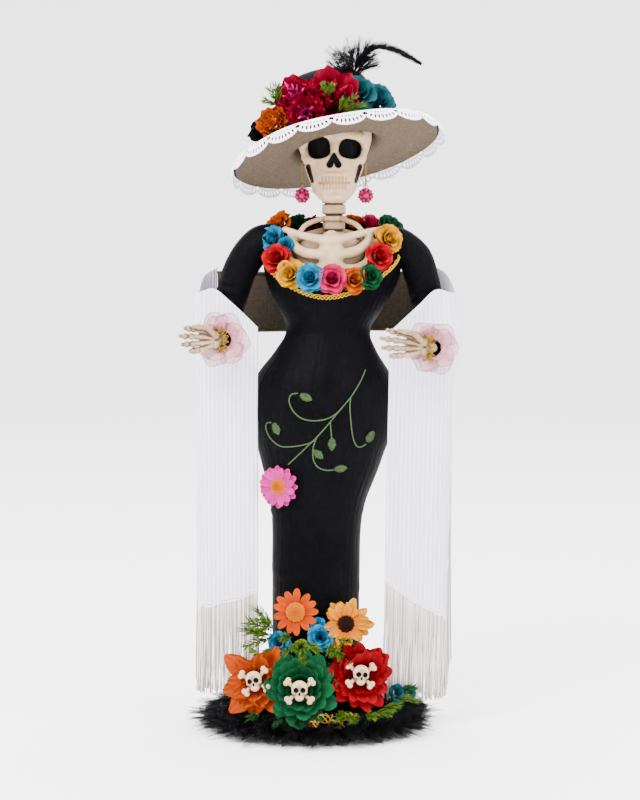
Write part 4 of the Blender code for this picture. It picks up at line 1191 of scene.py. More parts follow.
def make_lace():
    """Crochet lace round the brim: worked flat as one strip of holes and picots, then bent over the edge."""
    period = TAU * 97 / LACE_SCALLOPS
    strip = period * LACE_SCALLOPS
    voxel = period / 56
    one = Volume((-3 * voxel, -1, -1.3), (period + 3.5 * voxel, LACE_WIDTH + 1, 1.3), voxel)
    x, y, z = np.moveaxis(one.at, -1, 0)
    x = np.mod(x, period)
    centre = period / 2
    edge = LACE_WIDTH - 0.8 - 5.2 * (1 - np.sqrt(np.maximum(0.02, 1 - (2 * x / period - 1) ** 2)))
    picot = 0.55 * np.abs(np.sin(math.pi * x / (period / 11)))
    flat = np.maximum(-y, y - edge - picot)
    holes = np.full_like(x, 9.0)
    cell = np.mod(x, period / 17) - period / 34
    for row, size in ((2.6, 0.42), (5.4, 0.5)):
        holes = np.minimum(holes, np.hypot(cell, y - row) - size)
    fan = np.arctan2(x - centre, y + 3.0)
    reach = np.hypot(x - centre, y + 3.0)
    spoke = (np.mod(fan + 0.1, 0.2) - 0.1) * reach
    for back, wide, tall in ((2.7, 1.0, 1.6), (6.2, 0.75, 1.0)):
        line = y - (edge - back)
        holes = np.minimum(holes, np.hypot(spoke / wide, line / tall) * 0.7 - 0.7)
    joint = np.minimum(x, period - x)
    holes = np.minimum(holes, np.hypot(joint / 1.2, y - (LACE_WIDTH - 7.6)) - 1.5)
    thread = 0.16 * np.cos(TAU * x / 1.15) + 0.14 * np.cos(TAU * y / 1.3)
    body = np.maximum(flat, -holes * 0.9)
    one.field = np.maximum(body, np.abs(z) - 0.52 - thread * 0.5).astype(np.float32)
    points, quads, _ = one.surface()
    middle = points[quads][:, :, 0].mean(axis=1)
    quads = quads[(middle >= -1e-3) & (middle < period - 1e-3)]
    used, index = np.unique(quads, return_inverse=True)
    points, quads = points[used], index.reshape(-1, 4)
    path = resampled([(85.5, 2.2), (90, 1.4), (95.2, -0.6), (98.2, -4.2), (99.4, -8.5), (99.8, -12.8)], 40)
    along = np.linspace(0, LACE_WIDTH, 40)
    slope = np.gradient(path, axis=0)
    normal = np.stack([-slope[:, 1], slope[:, 0]], -1)
    normal /= np.linalg.norm(normal, axis=1)[:, None]
    work = Patchwork()
    rng = np.random.default_rng(71)
    for k in range(LACE_SCALLOPS):
        angle = (points[:, 0] + k * period) / strip * TAU
        r, h, n_r, n_h = (np.interp(points[:, 1], along, c) for c in (*path.T, *normal.T))
        flare = 1.1 * np.sin(angle * 7 + 1) * (points[:, 1] / LACE_WIDTH) ** 2
        radius = r - n_r * points[:, 2] + flare
        height = h - n_h * points[:, 2] + 0.7 * waves(np.cos(angle) * 6, np.sin(angle) * 6, 1)
        shade = lighter(PAINT["white"], 0.1) * rng.uniform(0.96, 1.0)
        work.add(on_hat(np.stack([radius * np.cos(angle), radius * np.sin(angle), height], -1)), quads, shade)
    made = work.piece("brim_lace", ["fibre"], "white_lace", ["hat_lace"], weld=True)
    return made


def make_feathers():
    """A tuft of black down and one curved plume, at the top of the crown."""
    rng = np.random.default_rng(81)
    work = Patchwork()

    def barbs(route, longest, count, sweep, thick, curl, flatten=None):
        route = np.asarray(route)
        ahead = directions(route)
        for i in range(count):
            at = (i + 0.7) / count * (len(route) - 1)
            k = min(int(at), len(route) - 2)
            root = route[k] * (1 - at + k) + route[k + 1] * (at - k)
            along = ahead[k]
            across = np.cross(along, flatten) if flatten is not None else np.cross(along, rng.normal(size=3))
            across = unit(across)
            size = longest * math.sin(math.pi * (0.15 + 0.8 * (i + 0.5) / count)) ** 0.6
            for side in (-1, 1):
                reach = size * rng.uniform(0.75, 1.1)
                way = unit(across * side + along * sweep + rng.normal(0, 0.10, 3))
                bend = rng.normal(0, curl, 3) * reach + vec((0, 0, -0.10)) * reach * curl
                line = [root, root + way * reach * 0.5 + bend * 0.3, root + way * reach + bend]
                shade = darker(PAINT["black"], rng.uniform(0.6, 2.2))
                work.tube(line, (thick, thick * 0.8, thick * 0.25), shade, sides=3)

    plume = smooth_route([(36, -12, 605), (39, -12, 611), (46, -12, 619), (55, -13, 623.5), (68, -13.5, 622),
                          (82, -14, 616), (95, -14.5, 608.5)], 8)
    work.tube(plume, np.linspace(0.7, 0.25, len(plume)), darker(PAINT["black"], 1.5), sides=5)
    barbs(plume[8:], 8.5, 190, 1.9, 0.40, 0.05, (0, -1, 0.3))
    barbs(plume[:22], 17, 60, 0.9, 0.22, 0.16)
    base = vec((34, -12, 596))
    for k in range(54):
        lean = -74 + 140 * (k + 0.5) / 54 + rng.normal(0, 4)
        height = 37 * (0.62 + 0.38 * math.cos(math.radians(lean * 1.2 + 8))) * rng.uniform(0.6, 1.06)
        way = vec((math.sin(math.radians(lean)), rng.normal(0, 0.25), math.cos(math.radians(lean))))
        tip = base + way * height + rng.normal(0, 2, 3)
        middle = base + way * height * 0.5 + vec((rng.normal(0, 1.5), 0, 2))
        shaft = smooth_route([base + rng.normal(0, 1.5, 3), middle, tip], 5)
        work.tube(shaft, np.linspace(0.42, 0.14, len(shaft)), darker(PAINT["black"], 1.4), sides=3)
        barbs(shaft[2:], 9, 17, 1.9, 0.17, 0.10)
    return work.piece("black_feathers", ["fibre"], "feather", ["hat_feather"])


def make_hat_flowers():
    """The silk flowers banked against the crown."""
    red, heart = PAINT["crimson"], PAINT["magenta"]
    top = peony((14.5, -52, 575), (0.08, -0.93, 0.36), 23.5, red, darker(red, 1.1), 3)
    rng = np.random.default_rng(5)
    for k in range(5):
        sprig(top.work, (9 + k * 0.8, -66, 577), (rng.normal(0.05, 0.3), -0.5, 0.85 + rng.normal(0, 0.2)), 11,
              rng, (PAINT["leaf"], PAINT["lime"]), 4.0, 5, look=1)
    top.work.piece("carnation_top", ["petal", "foliage"], "crimson", ["hat_carnation_top"])
    low = peony((-8.5, -63, 561), (-0.15, -0.96, 0.2), 17.5, red, heart, 8)
    low.work.piece("carnation_low", ["petal"], "crimson", ["hat_carnation_low"])
    side = peony((-17, -50, 574), (-0.35, -0.85, 0.4), 20.5, red, heart, 12)
    side.work.piece("carnation_side", ["petal"], "crimson", ["hat_carnation_side"])
    orange = peony((-38, -51, 552), (-0.3, -0.92, 0.25), 14.5, PAINT["orange"],
                   lighter(PAINT["orange"], 0.3), 16)
    orange.work.piece("orange_hat_flower", ["petal"], "orange", ["hat_orange_flower"])
    black = peony((-47, -41, 547), (-0.6, -0.7, 0.35), 12.5, PAINT["black"], PAINT["black"], 21)
    black.work.piece("black_hat_flower", ["petal"], "black_cloth")
    teal = rose((56, -36, 573.5), (0.4, -0.8, 0.42), 17, PAINT["teal"], 24)
    rose((39, -45, 581), (0.1, -0.88, 0.45), 15.5, PAINT["teal"], 27, teal.work)
    teal.work.piece("teal_hat_rose", ["petal"], "teal", ["hat_teal_rose"])
    work = Patchwork()
    greens = (PAINT["leaf"], PAINT["lime"])
    for start, way, size in (
            ((-33, -50, 570), (-0.45, -0.35, 0.85), 15), ((-34, -50, 568), (-0.85, -0.35, 0.4), 12),
            ((-33, -50, 571), (-0.15, -0.3, 0.95), 15), ((22, -66, 562), (0.6, -0.5, 0.55), 18),
            ((24, -66, 562), (0.85, -0.4, 0.35), 19), ((22, -66, 560), (0.95, -0.35, 0.05), 17),
            ((20, -66, 561), (0.35, -0.6, 0.6), 14)):
        sprig(work, start, way, size, rng, greens, 7.0, 8)
    work.piece("hat_sprigs", ["foliage"], "green")


# ---------------------------------------------------------------- jewels and trims

def make_earrings():
    """Wire hooks and flower drops set with pink stones, one pair for each ear."""
    for side, x in (("right", -12.5), ("left", 45.5)):
        inward = 1 if side == "right" else -1
        hook = Patchwork()
        turn = np.linspace(0, TAU, 17)
        loop = np.stack([np.full(17, x), -4 + 2 * np.sin(turn), 500 + 2 * np.cos(turn)], -1)
        pin = smooth_route([(x + inward * 6, -4, 519), (x + inward * 1.5, -4, 519.2), (x + 0.1, -4, 518.4),
                            (x, -4, 516), (x, -4, 510), (x, -4, 503.5), (x, -4, 502)], 5)
        hook.tube(pin, 0.5, PAINT["gold"], sides=8)
        hook.tube(loop, 0.5, PAINT["gold"], sides=8)
        hook.ball((x, -4, 503.4), (0.95, 0.95, 1.1), PAINT["gold"])
        hook.piece(f"earring_{side}_wire", ["gold"], "gold", [f"earring_hook_{side}"], f"earring_{side}_hook")
        drop = Patchwork()
        ring = np.stack([x + 2 * np.sin(turn), np.full(17, -4), 497.3 + 2 * np.cos(turn)], -1)
        drop.tube(ring, 0.45, PAINT["gold"], sides=8, look=1)
        centre = vec((x, -4.6, 489.7))
        for k in range(7):
            angle = math.radians(90 + k * 360 / 7)
            at = centre + 4.9 * vec((math.cos(angle), 0, math.sin(angle)))
            drop.ball(at, (2.3, 1.7, 2.3), PAINT["gem"], columns=8, rows=5)
            rim = centre + 6.9 * vec((math.cos(angle), 0.06, math.sin(angle)))
            drop.ball(rim, (0.75, 0.75, 0.75), PAINT["silver"], look=1)
            between = angle + math.pi / 7
            dot = centre + 6.4 * vec((math.cos(between), 0.06, math.sin(between)))
            drop.ball(dot, (0.9, 0.8, 0.9), lighter(PAINT["gem"], 0.3))
        drop.ball(centre - (0, 1.2, 0), (3.3, 2.1, 3.3), lighter(PAINT["gem"], 0.12), columns=10, rows=6)
        plate = np.array([[centre + (r * math.sin(a), y, r * math.cos(a)) for a in circle(24)]
                          for r, y in ((0.1, 2.6), (5.6, 2.4), (6.4, 1.4), (5.8, 0.2), (0.1, 0.1))])
        drop.grid(plate, PAINT["silver"], closed=True, look=1)
        drop.piece(f"earring_{side}_flower", ["gem", "steel"], "gem", [f"earring_drop_{side}"],
                   f"earring_{side}_drop")


def make_braid():
    """Gold zigzag braid under the neckline roses."""
    work = Patchwork()
    turns = np.linspace(0, TAU, 721)
    for phase, depth, low in ((0, 1.3, -5.4), (math.pi, 1.3, -5.4), (0, 0.4, -3.2)):
        front = np.clip((1 + np.cos(turns)) / 2, 0, 1) ** 0.6
        height = neckline(turns) + low + front * (5 * np.sin(turns) - 7.5)
        height = height + depth * np.sin(turns * 48 + phase)
        line = body_at(turns, height, 1.7 + 0.5 * np.cos(turns * 48 + phase))
        work.tube(line, 0.42, PAINT["braid"], sides=5)
    return work.piece("gold_braid", ["fibre"], "gold", ["neckline_braid"])


# Each rose: (centre in mm, colour, radius)
ROSE_PLACES = (
    ((14.5, -53, 414.5), "hot_rose", 12.6), ((34.5, -47.5, 413.5), "orange", 11.6),
    ((49, -46.5, 416.5), "green", 10.8),
    ((58, -38.5, 434.5), "red", 12.4), ((67, -26, 450.5), "yellow", 12.8), ((70, 3, 463), "green", 12.2),
    ((53, 22, 464.5), "hot_rose", 12.2), ((38, 30, 465.5), "orange", 12.2), ((-6, 31, 465), "dark_red", 11.8),
    ((-20.5, 26, 465.5), "green", 11.8), ((-36, 10, 465), "orange", 13.0), ((-40.5, -16, 450), "blue", 12.4),
    ((-36.5, -33.5, 433), "red", 12.6), ((-23.5, -42, 419), "yellow", 12.8),
    ((-5.5, -51.5, 415.5), "blue", 12.4),
)
ROSE_SLOTS = {"hot_rose": "pink", "dark_red": "red"}


def make_neckline_roses():
    """Fifteen paper roses round the neckline, and one small extra."""
    for k, (centre, colour, size) in enumerate(ROSE_PLACES):
        out = unit(vec((centre[0] - NECK_X, centre[1] * 1.2, 0)))
        facing = out * 0.8 + (0, -0.9, 0.35) if centre[1] < 0 else out * vec((0.8, 0.5, 0)) + (0, -0.75, 0.95)
        bloom = rose(centre, facing, size, PAINT[colour], 100 + k)
        bloom.work.piece(f"paper_rose_{k + 1:02d}", ["paper_petal"], ROSE_SLOTS.get(colour, colour),
                         [f"neckline_rose_{k + 1:02d}"])
    small = rose((-27.5, -28, 445), (-0.2, -0.95, 0.3), 7.5, darker(PAINT["blue"], 0.7), 131)
    small.work.piece("paper_rose_small", ["paper_petal"], "blue")


def make_cuffs():
    """Pink organza petals flaring at each wrist, with curled gold cord round the hand."""
    for side, centre, seed in (("right", (-83, -60.5, 360), 41), ("left", (104, -62.5, 353), 42)):
        bloom = Bloom(centre, (0.06 if side == "left" else -0.08, -1, 0.04), seed)
        shared = dict(base=0.4, widest=0.72, tip=0.68, square=0.72, rows=9, columns=12, jitter=8, vary=0.09,
                      waves=2)
        white = PAINT["white"]
        bloom.ring(6, 7.5, 0, white, white, length=17.5, width=25, lift=16, bend=-14, cup=0.15, ruffle=2.2,
                   **shared)
        bloom.ring(5, 7.5, 1.5, white, white, 30, length=14.5, width=20, lift=34, bend=-18, cup=0.2,
                   ruffle=2.0, **shared)
        cuff = bloom.work
        rims = []
        for points in cuff.points:
            grid = points.reshape(9, 12, 3)
            rims.append(np.vstack([grid[2:-1, 0], grid[-1], grid[2:-1, -1][::-1]]))
        gather = Patchwork()
        turn = circle(60)
        sleeve = [np.stack([r * np.cos(turn) + 0.5 * np.cos(turn * 15),
                            r * np.sin(turn) + 0.5 * np.sin(turn * 15), np.full(60, z)], -1)
                  for r, z in ((9.2, -5.5), (9.6, -3), (9.0, -0.5), (10.5, 1.5), (13, 3.0))]
        cuff.grid(bloom.place(np.array(sleeve)), PAINT["white"], closed=True)
        made = cuff.piece(f"organza_cuff_{side}", ["organza"], "organza", [f"cuff_{side}"])
        for rim in rims:
            gather.tube(rim, 0.26, (0.22, 0.075, 0.075), sides=4)
        edging = gather.piece(f"cuff_edging_{side}", ["fibre"], "organza")
        wrist, along, up, out = hand_axes(side)
        gimp = Patchwork()
        spins = np.linspace(0, TAU, 500)
        for offset, radius, wave, phase in ((3.5, 7.6, 20, 0), (6.0, 7.9, 17, 2), (1.5, 8.2, 15, 4)):
            coil = np.array([
                wrist + along * (offset + 1.9 * math.sin(wave * s + phase))
                + (up * 1.25 * math.cos(s) + out * math.sin(s)) * (radius + 1.6 * math.cos(wave * s))
                for s in spins])
            gimp.tube(coil, 0.42, PAINT["gold"], sides=5)
        gimp.piece(f"wrist_gimp_{side}", ["gold"], "gold")


VINE_STEMS = (
    ((45, 332), (39.5, 320.5), (31.3, 307.8), (21, 295.9), (12, 284.8), (1.6, 272.9), (-7.3, 263.9),
     (-17.7, 253.5), (-25.2, 246)),
    ((24, 299), (17.9, 293), (9, 288.5), (-2.8, 287), (-13.3, 289.3), (-20.7, 295.9), (-24.1, 304.1),
     (-22.2, 310), (-16.3, 311.5)),
    ((5, 276.8), (-2.8, 268.2), (-11.8, 264.7), (-23.7, 262.7), (-32.7, 263.1), (-40.9, 269.2), (-45, 277.3),
     (-44.6, 283.2), (-40.1, 284.4)),
    ((31.3, 307.8), (30.6, 299.6), (31.3, 287.7), (32.9, 274.3), (35.8, 264.7), (40.3, 262.2), (45.5, 264.7)),
    ((12.8, 285.8), (13.8, 275.8), (14.2, 271)),
    ((0.6, 271.6), (-2.4, 262.5), (-2.4, 252), (1.6, 244.6), (9, 241.6), (16.4, 241.9)),
)
VINE_LEAVES = (((-9, 308), (0.92, -0.38)), ((-36, 278.9), (0.38, -0.93)), ((49.3, 271.3), (0.5, 0.87)),
               ((14.5, 265.6), (0, -1)), ((22.4, 242.8), (1, 0.12)), ((1.8, 256.3), (0.75, -0.62)))


def on_front(x, z, out):
    """A point on the front of the skirt, from its place as seen from the front."""
    centre, wide, _ = hermite(BODY_STATIONS, np.float64(z))
    angle = math.asin(max(-0.97, min(0.97, (x - centre) / (wide + out))))
    return body_at(angle, z, out)


def make_vine():
    """The embroidered vine: rope-stitched stems and satin-stitched leaves."""
    work = Patchwork()
    rng = np.random.default_rng(91)
    for stem in VINE_STEMS:
        flat = smooth_route([(x, z, 0) for x, z in stem], 14)
        route = np.array([on_front(x, z, 1.5) for x, z, _ in flat])
        length = run_of(route)
        stitches = length / 2.6
        swell = 0.48 + 0.26 * np.abs(np.sin(stitches * math.pi))
        # The thread is painted lighter on each stitch's crown and darker where stitches meet: painted
        # highlight and painted shade.
        shade = blend_of(darker(PAINT["thread"], 0.7), lighter(PAINT["thread"], 0.12),
                         np.abs(np.sin(stitches * math.pi)))
        work.tube(route, swell, shade, sides=6)
    for (x, z), (dx, dz) in VINE_LEAVES:
        way = unit(vec((dx, dz)))
        across = vec((-way[1], way[0]))
        for k in range(15):
            t = (k + 0.5) / 15 * 2 - 1
            middle = vec((x, z)) + way * t * 5.6
            half = 3.4 * math.sqrt(max(0.05, 1 - t * t)) * (1 + 0.10 * rng.normal())
            for side in (-1, 1):
                ends = [middle + way * 0.5, middle + across * side * half * 0.55,
                        middle + across * side * half - way * 0.4]
                route = np.array([on_front(*p, 1.3 + h) for p, h in zip(ends, (0.9, 0.75, 0.1))])
                shade = PAINT["thread"] * vec(rng.uniform(0.75, 1.35))
                work.tube(route, (0.42, 0.42, 0.3), shade, sides=4)
    return work.piece("vine_stitching", ["fibre"], "thread", ["vine_embroidery"])


# ---------------------------------------------------------------- shawl

GAUZE_RIB = 3.9
SHAWLS = {
    "right": dict(
        route=((-92, 37), (-104, 22), (-109, 5), (-109, -12), (-104, -23), (-92, -27), (-78, -28),
               (-64, -28), (-53, -27)),
        bottom=(366, 362, 300, 128, 117, 119, 122, 126, 130),
        top=(424, 416, 403, 398, 402, 405, 394, 381, 370),
        hole=(-83, 360), lean=0, fringe_low=33, bulge=2),
    "left": dict(
        route=((112, 37), (121, 22), (126, 5), (125, -12), (120, -23), (108, -27), (94, -28), (80, -28),
               (67, -27)),
        bottom=(364, 360, 295, 118, 108, 114, 122, 131, 139),
        top=(424, 418, 406, 400, 402, 404, 391, 378, 366),
        hole=(104, 354), lean=-6, fringe_low=27, bulge=-9),
}
HOLE_RADIUS, HOLE_PULL = 12.5, 26


def shawl_point(facts, s, height, seed):
    """Points of the hanging cloth. s runs from 0, at the back, to 1, at the inner edge."""
    route = smooth_route([(x, y, 0) for x, y in facts["route"]], 10)[:, :2]
    along = run_of(route)
    at = s * along[-1]
    x, y = (np.interp(at, along, route[:, k]) for k in range(2))
    slope = directions(route)
    nx, ny = np.interp(at, along, slope[:, 1]), np.interp(at, along, -slope[:, 0])
    hang = np.clip((330 - height) / 200, 0, 1)
    fold = (1.5 + 1.2 * hang) * np.sin(at / 17.0 + 0.6 * seed + 0.004 * height)
    fold = fold * np.clip((at - 30) / 30, 0, 1)
    fold = fold + 1.0 * waves(at * 0.09, height * 0.02, seed, 7)
    outer = np.exp(-((at - 50) / 26) ** 2)
    fold = fold + facts["bulge"] * outer * np.exp(-((height - 362) / 26) ** 2)
    rib = np.cos(TAU * (at + 0.5 * waves(at * 0.02, height * 0.03, seed + 1, 5)) / GAUZE_RIB)
    rib = rib + 0.3 * waves(at * 3.2, height * 0.12, seed + 2, 9)
    out = fold + 0.5 * rib
    lean = facts["lean"] * np.clip((360 - height) / 320, 0, 1)
    return np.stack([x + nx * out + lean, y + ny * out, height], -1), rib


def make_shawl(side):
    """One hanging end of the pleated gauze shawl, with its opening for the forearm, and its fringe."""
    facts = SHAWLS[side]
    seed = 3 if side == "right" else 9
    columns, rows = 150, 130
    s = np.linspace(0, 1, columns)[None]
    u = np.linspace(0, 1, rows)[:, None]
    route = smooth_route([(x, y, 0) for x, y in facts["route"]], 10)[:, :2]
    along = run_of(route)
    knots = along[::10] / along[-1]
    ease = smooth_route([(k, b, t) for k, b, t in zip(knots, facts["bottom"], facts["top"])], 8)
    bottom, top = np.interp(s, ease[:, 0], ease[:, 1]), np.interp(s, ease[:, 0], ease[:, 2])
    bottom = bottom + 0.8 * waves(s * 40, 0, seed)
    height = bottom + (top - bottom) * u
    points, rib = shawl_point(facts, np.broadcast_to(s, height.shape), height, seed)

    x, z = points[..., 0] - facts["hole"][0], points[..., 2] - facts["hole"][1]
    reach = np.hypot(x, z)
    pulled = np.where(reach < HOLE_PULL, HOLE_RADIUS + reach * (HOLE_PULL - HOLE_RADIUS) / HOLE_PULL, reach)
    near = (points[..., 1] < 5)
    grow = np.where(near, pulled / np.maximum(reach, 0.2), 1)
    points[..., 0] = facts["hole"][0] + x * grow
    points[..., 2] = facts["hole"][1] + z * grow
    cut = near & (reach < 3.2)

    i, j = np.meshgrid(np.arange(rows - 1), np.arange(columns - 1), indexing="ij")
    corners = [(i, j), (i, j + 1), (i + 1, j + 1), (i + 1, j)]
    open_ = np.any([cut[a, b] for a, b in corners], axis=0)
    faces = np.stack([a * columns + b for a, b in corners], -1)[~open_]
    used, index = np.unique(faces, return_inverse=True)
    work = Patchwork()
    # The gauze is painted darker in the grooves between its ribs: painted shade.
    groove = np.clip(0.5 - 0.5 * rib, 0, 1).reshape(-1)[used]
    tint = blend_of(PAINT["white"], darker(PAINT["white"], 0.78), groove)
    work.add(points.reshape(-1, 3)[used], index.reshape(-1, 4), tint)
    name = f"shawl_{side}_gauze"
    made = work.piece(name, ["gauze"], "white_gauze", [f"shawl_{side}"], thickness=0.8)

    hem = Patchwork()
    rng = np.random.default_rng(50 + seed)
    line, _ = shawl_point(facts, s[0], bottom[0], seed)
    start = int(columns * 0.30)
    knots = 1.0 + 0.2 * np.cos(np.arange(columns - start) * 1.9)
    hem.tube(line[start:] + (0, 0, 0.4), knots, PAINT["white"], sides=6)
    low = facts["fringe_low"]
    count = 88
    for k in range(count):
        share = 0.31 + 0.685 * (k + 0.5) / count
        for layer in range(2):
            at = np.array([min(0.999, share + layer * 0.004)])
            level = np.interp(at, s[0], bottom[0])
            root = shawl_point(facts, at, level, seed)[0][0] + (0, 1.1 * layer - 0.3, 0)
            back = max(0.0, (0.40 - share) / 0.09)
            length = (root[2] - low) * rng.uniform(0.90, 1.0) - 26 * back * rng.uniform(0.4, 1)
            swing = rng.normal(0, 1.4, 2)
            t = np.linspace(0, 1, 8)
            curl = 0.45 * np.sin(t * rng.uniform(5, 11) + rng.uniform(0, TAU))
            strand = np.stack([root[0] + (facts["lean"] * 0.35 + swing[0]) * t ** 1.5 + curl * t,
                               root[1] + swing[1] * 0.6 * t ** 1.5 + curl * 0.6 * t,
                               root[2] - length * t], -1)
            shade = PAINT["fringe"] * vec(rng.uniform(0.5, 1.06))
            hem.tube(strand, rng.uniform(0.48, 0.62), shade, sides=5)
        if k % 2 == 0:
            root = shawl_point(facts, np.array([share]), np.interp([share], s[0], bottom[0]), seed)[0][0]
            hem.ball(root - (0, 0.3, 2.2), (1.25, 1.2, 1.6), PAINT["white"], columns=6, rows=5)
    fringe = hem.piece(f"shawl_{side}_fringe", ["fibre"], "white_gauze")


def make_back_band():
    """The brown metallic knit that joins the shawl's ends behind the waist."""
    route = smooth_route([(-92, 36, 0), (-70, 50, 0), (-35, 54, 0), (10, 55, 0), (55, 54, 0), (90, 50, 0),
                          (111, 36.5, 0)], 10)
    along = run_of(route)
    at = np.linspace(0, along[-1], 190)[None]
    u = np.linspace(0, 1, 34)[:, None]
    x, y = np.interp(at, along, route[:, 0]), np.interp(at, along, route[:, 1])
    low = 365 + 1.2 * waves(at * 0.06, 0, 15)
    high = np.interp(at, (0, along[-1] / 2, along[-1]), (420, 416, 420)) + 1.2 * waves(at * 0.05, 1, 16)
    height = low + (high - low) * u
    slack = 0.8 * waves(at * 0.10, u * 3.5, 17, 9)
    out = slack + 0.3 * np.cos(TAU * at / 3.4 + 0.8 * waves(at * 0.1, u * 6, 18))
    work = Patchwork()
    work.grid(np.stack(np.broadcast_arrays(x, y + out, height), -1), PAINT["brown"])
    for level in (low[0] - 0.2, high[0] + 0.2):
        rim = np.stack([x[0], y[0] + 0.8 * waves(at[0] * 0.10, 0 * at[0], 17, 9), level], -1)
        work.tube(rim, 0.9, PAINT["brown"], sides=6)
    made = work.piece("back_band_knit", ["knit"], "brown_mesh", ["shawl_back"], thickness=1.0)


# ---------------------------------------------------------------- foot of the figure

def make_tulle():
    """Layers of stiff black tulle, gathered round the foot, with torn pointed edges."""
    work = Patchwork()
    rng = np.random.default_rng(101)
    columns = 300
    turn = circle(columns)
    layers = ((40, 96, 27, 12, 17), (41, 103, 23, 15, 21), (46, 108, 18, 13, 23), (54, 112, 12, 9, 19),
              (56, 111, 5, 3.5, 16))
    for k, (inner, outer, root, tip, folds) in enumerate(layers):
        phase = rng.uniform(0, TAU)
        rays = np.sin(turn * folds + phase + 0.9 * waves(np.cos(turn) * 5, np.sin(turn) * 5, 110 + k))
        jag = np.repeat(rng.uniform(-1, 1, columns // 4), 4) * 4.0 + 3.5 * np.abs(np.sin(turn * 37 + k))
        rim = outer - 7 + 4.2 * rays + jag - 1.5 + 2.0 * waves(np.cos(turn) * 3, np.sin(turn) * 3, 120 + k)
        grid = []
        for u in np.linspace(0, 1, 9):
            radius = inner + (rim - inner) * u
            height = root + (tip - root) * u ** 1.3 + rays * (1.2 + 7.5 * u) * (0.9 if k < 4 else 0.25)
            height = height + 4.5 * (1 - k / 5) * math.sin(math.pi * u) - 1.5 * u
            height = height + 1.6 * u * waves(np.cos(turn * 3) * 4, np.sin(turn * 3) * 4, 130 + k)
            grid.append(np.stack([radius * np.cos(turn), radius * np.sin(turn), np.maximum(height, 0.9)], -1))
        work.grid(np.array(grid), PAINT["black"], closed=True)
    for _ in range(230):
        angle = rng.uniform(0, TAU)
        reach = rng.uniform(102, 125)
        way = vec((math.cos(angle), math.sin(angle), 0))
        across = vec((-way[1], way[0], 0))
        lift = rng.uniform(1.5, 26) * (1 - 0.5 * (reach - 100) / 24)
        half = rng.uniform(4, 9.5)
        low, high = rng.uniform(5, 12), rng.uniform(0.45, 0.8)
        base = way * (reach - rng.uniform(26, 48))
        strip = []
        for t in np.linspace(0, 1, 5):
            at = base + way * t * (reach - np.linalg.norm(base)) + (0, 0, low + (lift - low) * t ** 1.5)
            wide = half * (1 - t) ** high + 0.25
            strip.append([at - across * wide, at + (0, 0, wide * 0.35), at + across * wide])
        strip = np.array(strip)
        strip[..., 2] = np.maximum(strip[..., 2], 0.9)
        work.grid(strip, PAINT["black"])
    made = work.piece("tulle_layers", ["tulle"], "tulle", ["tulle_ruffle"])
    return made


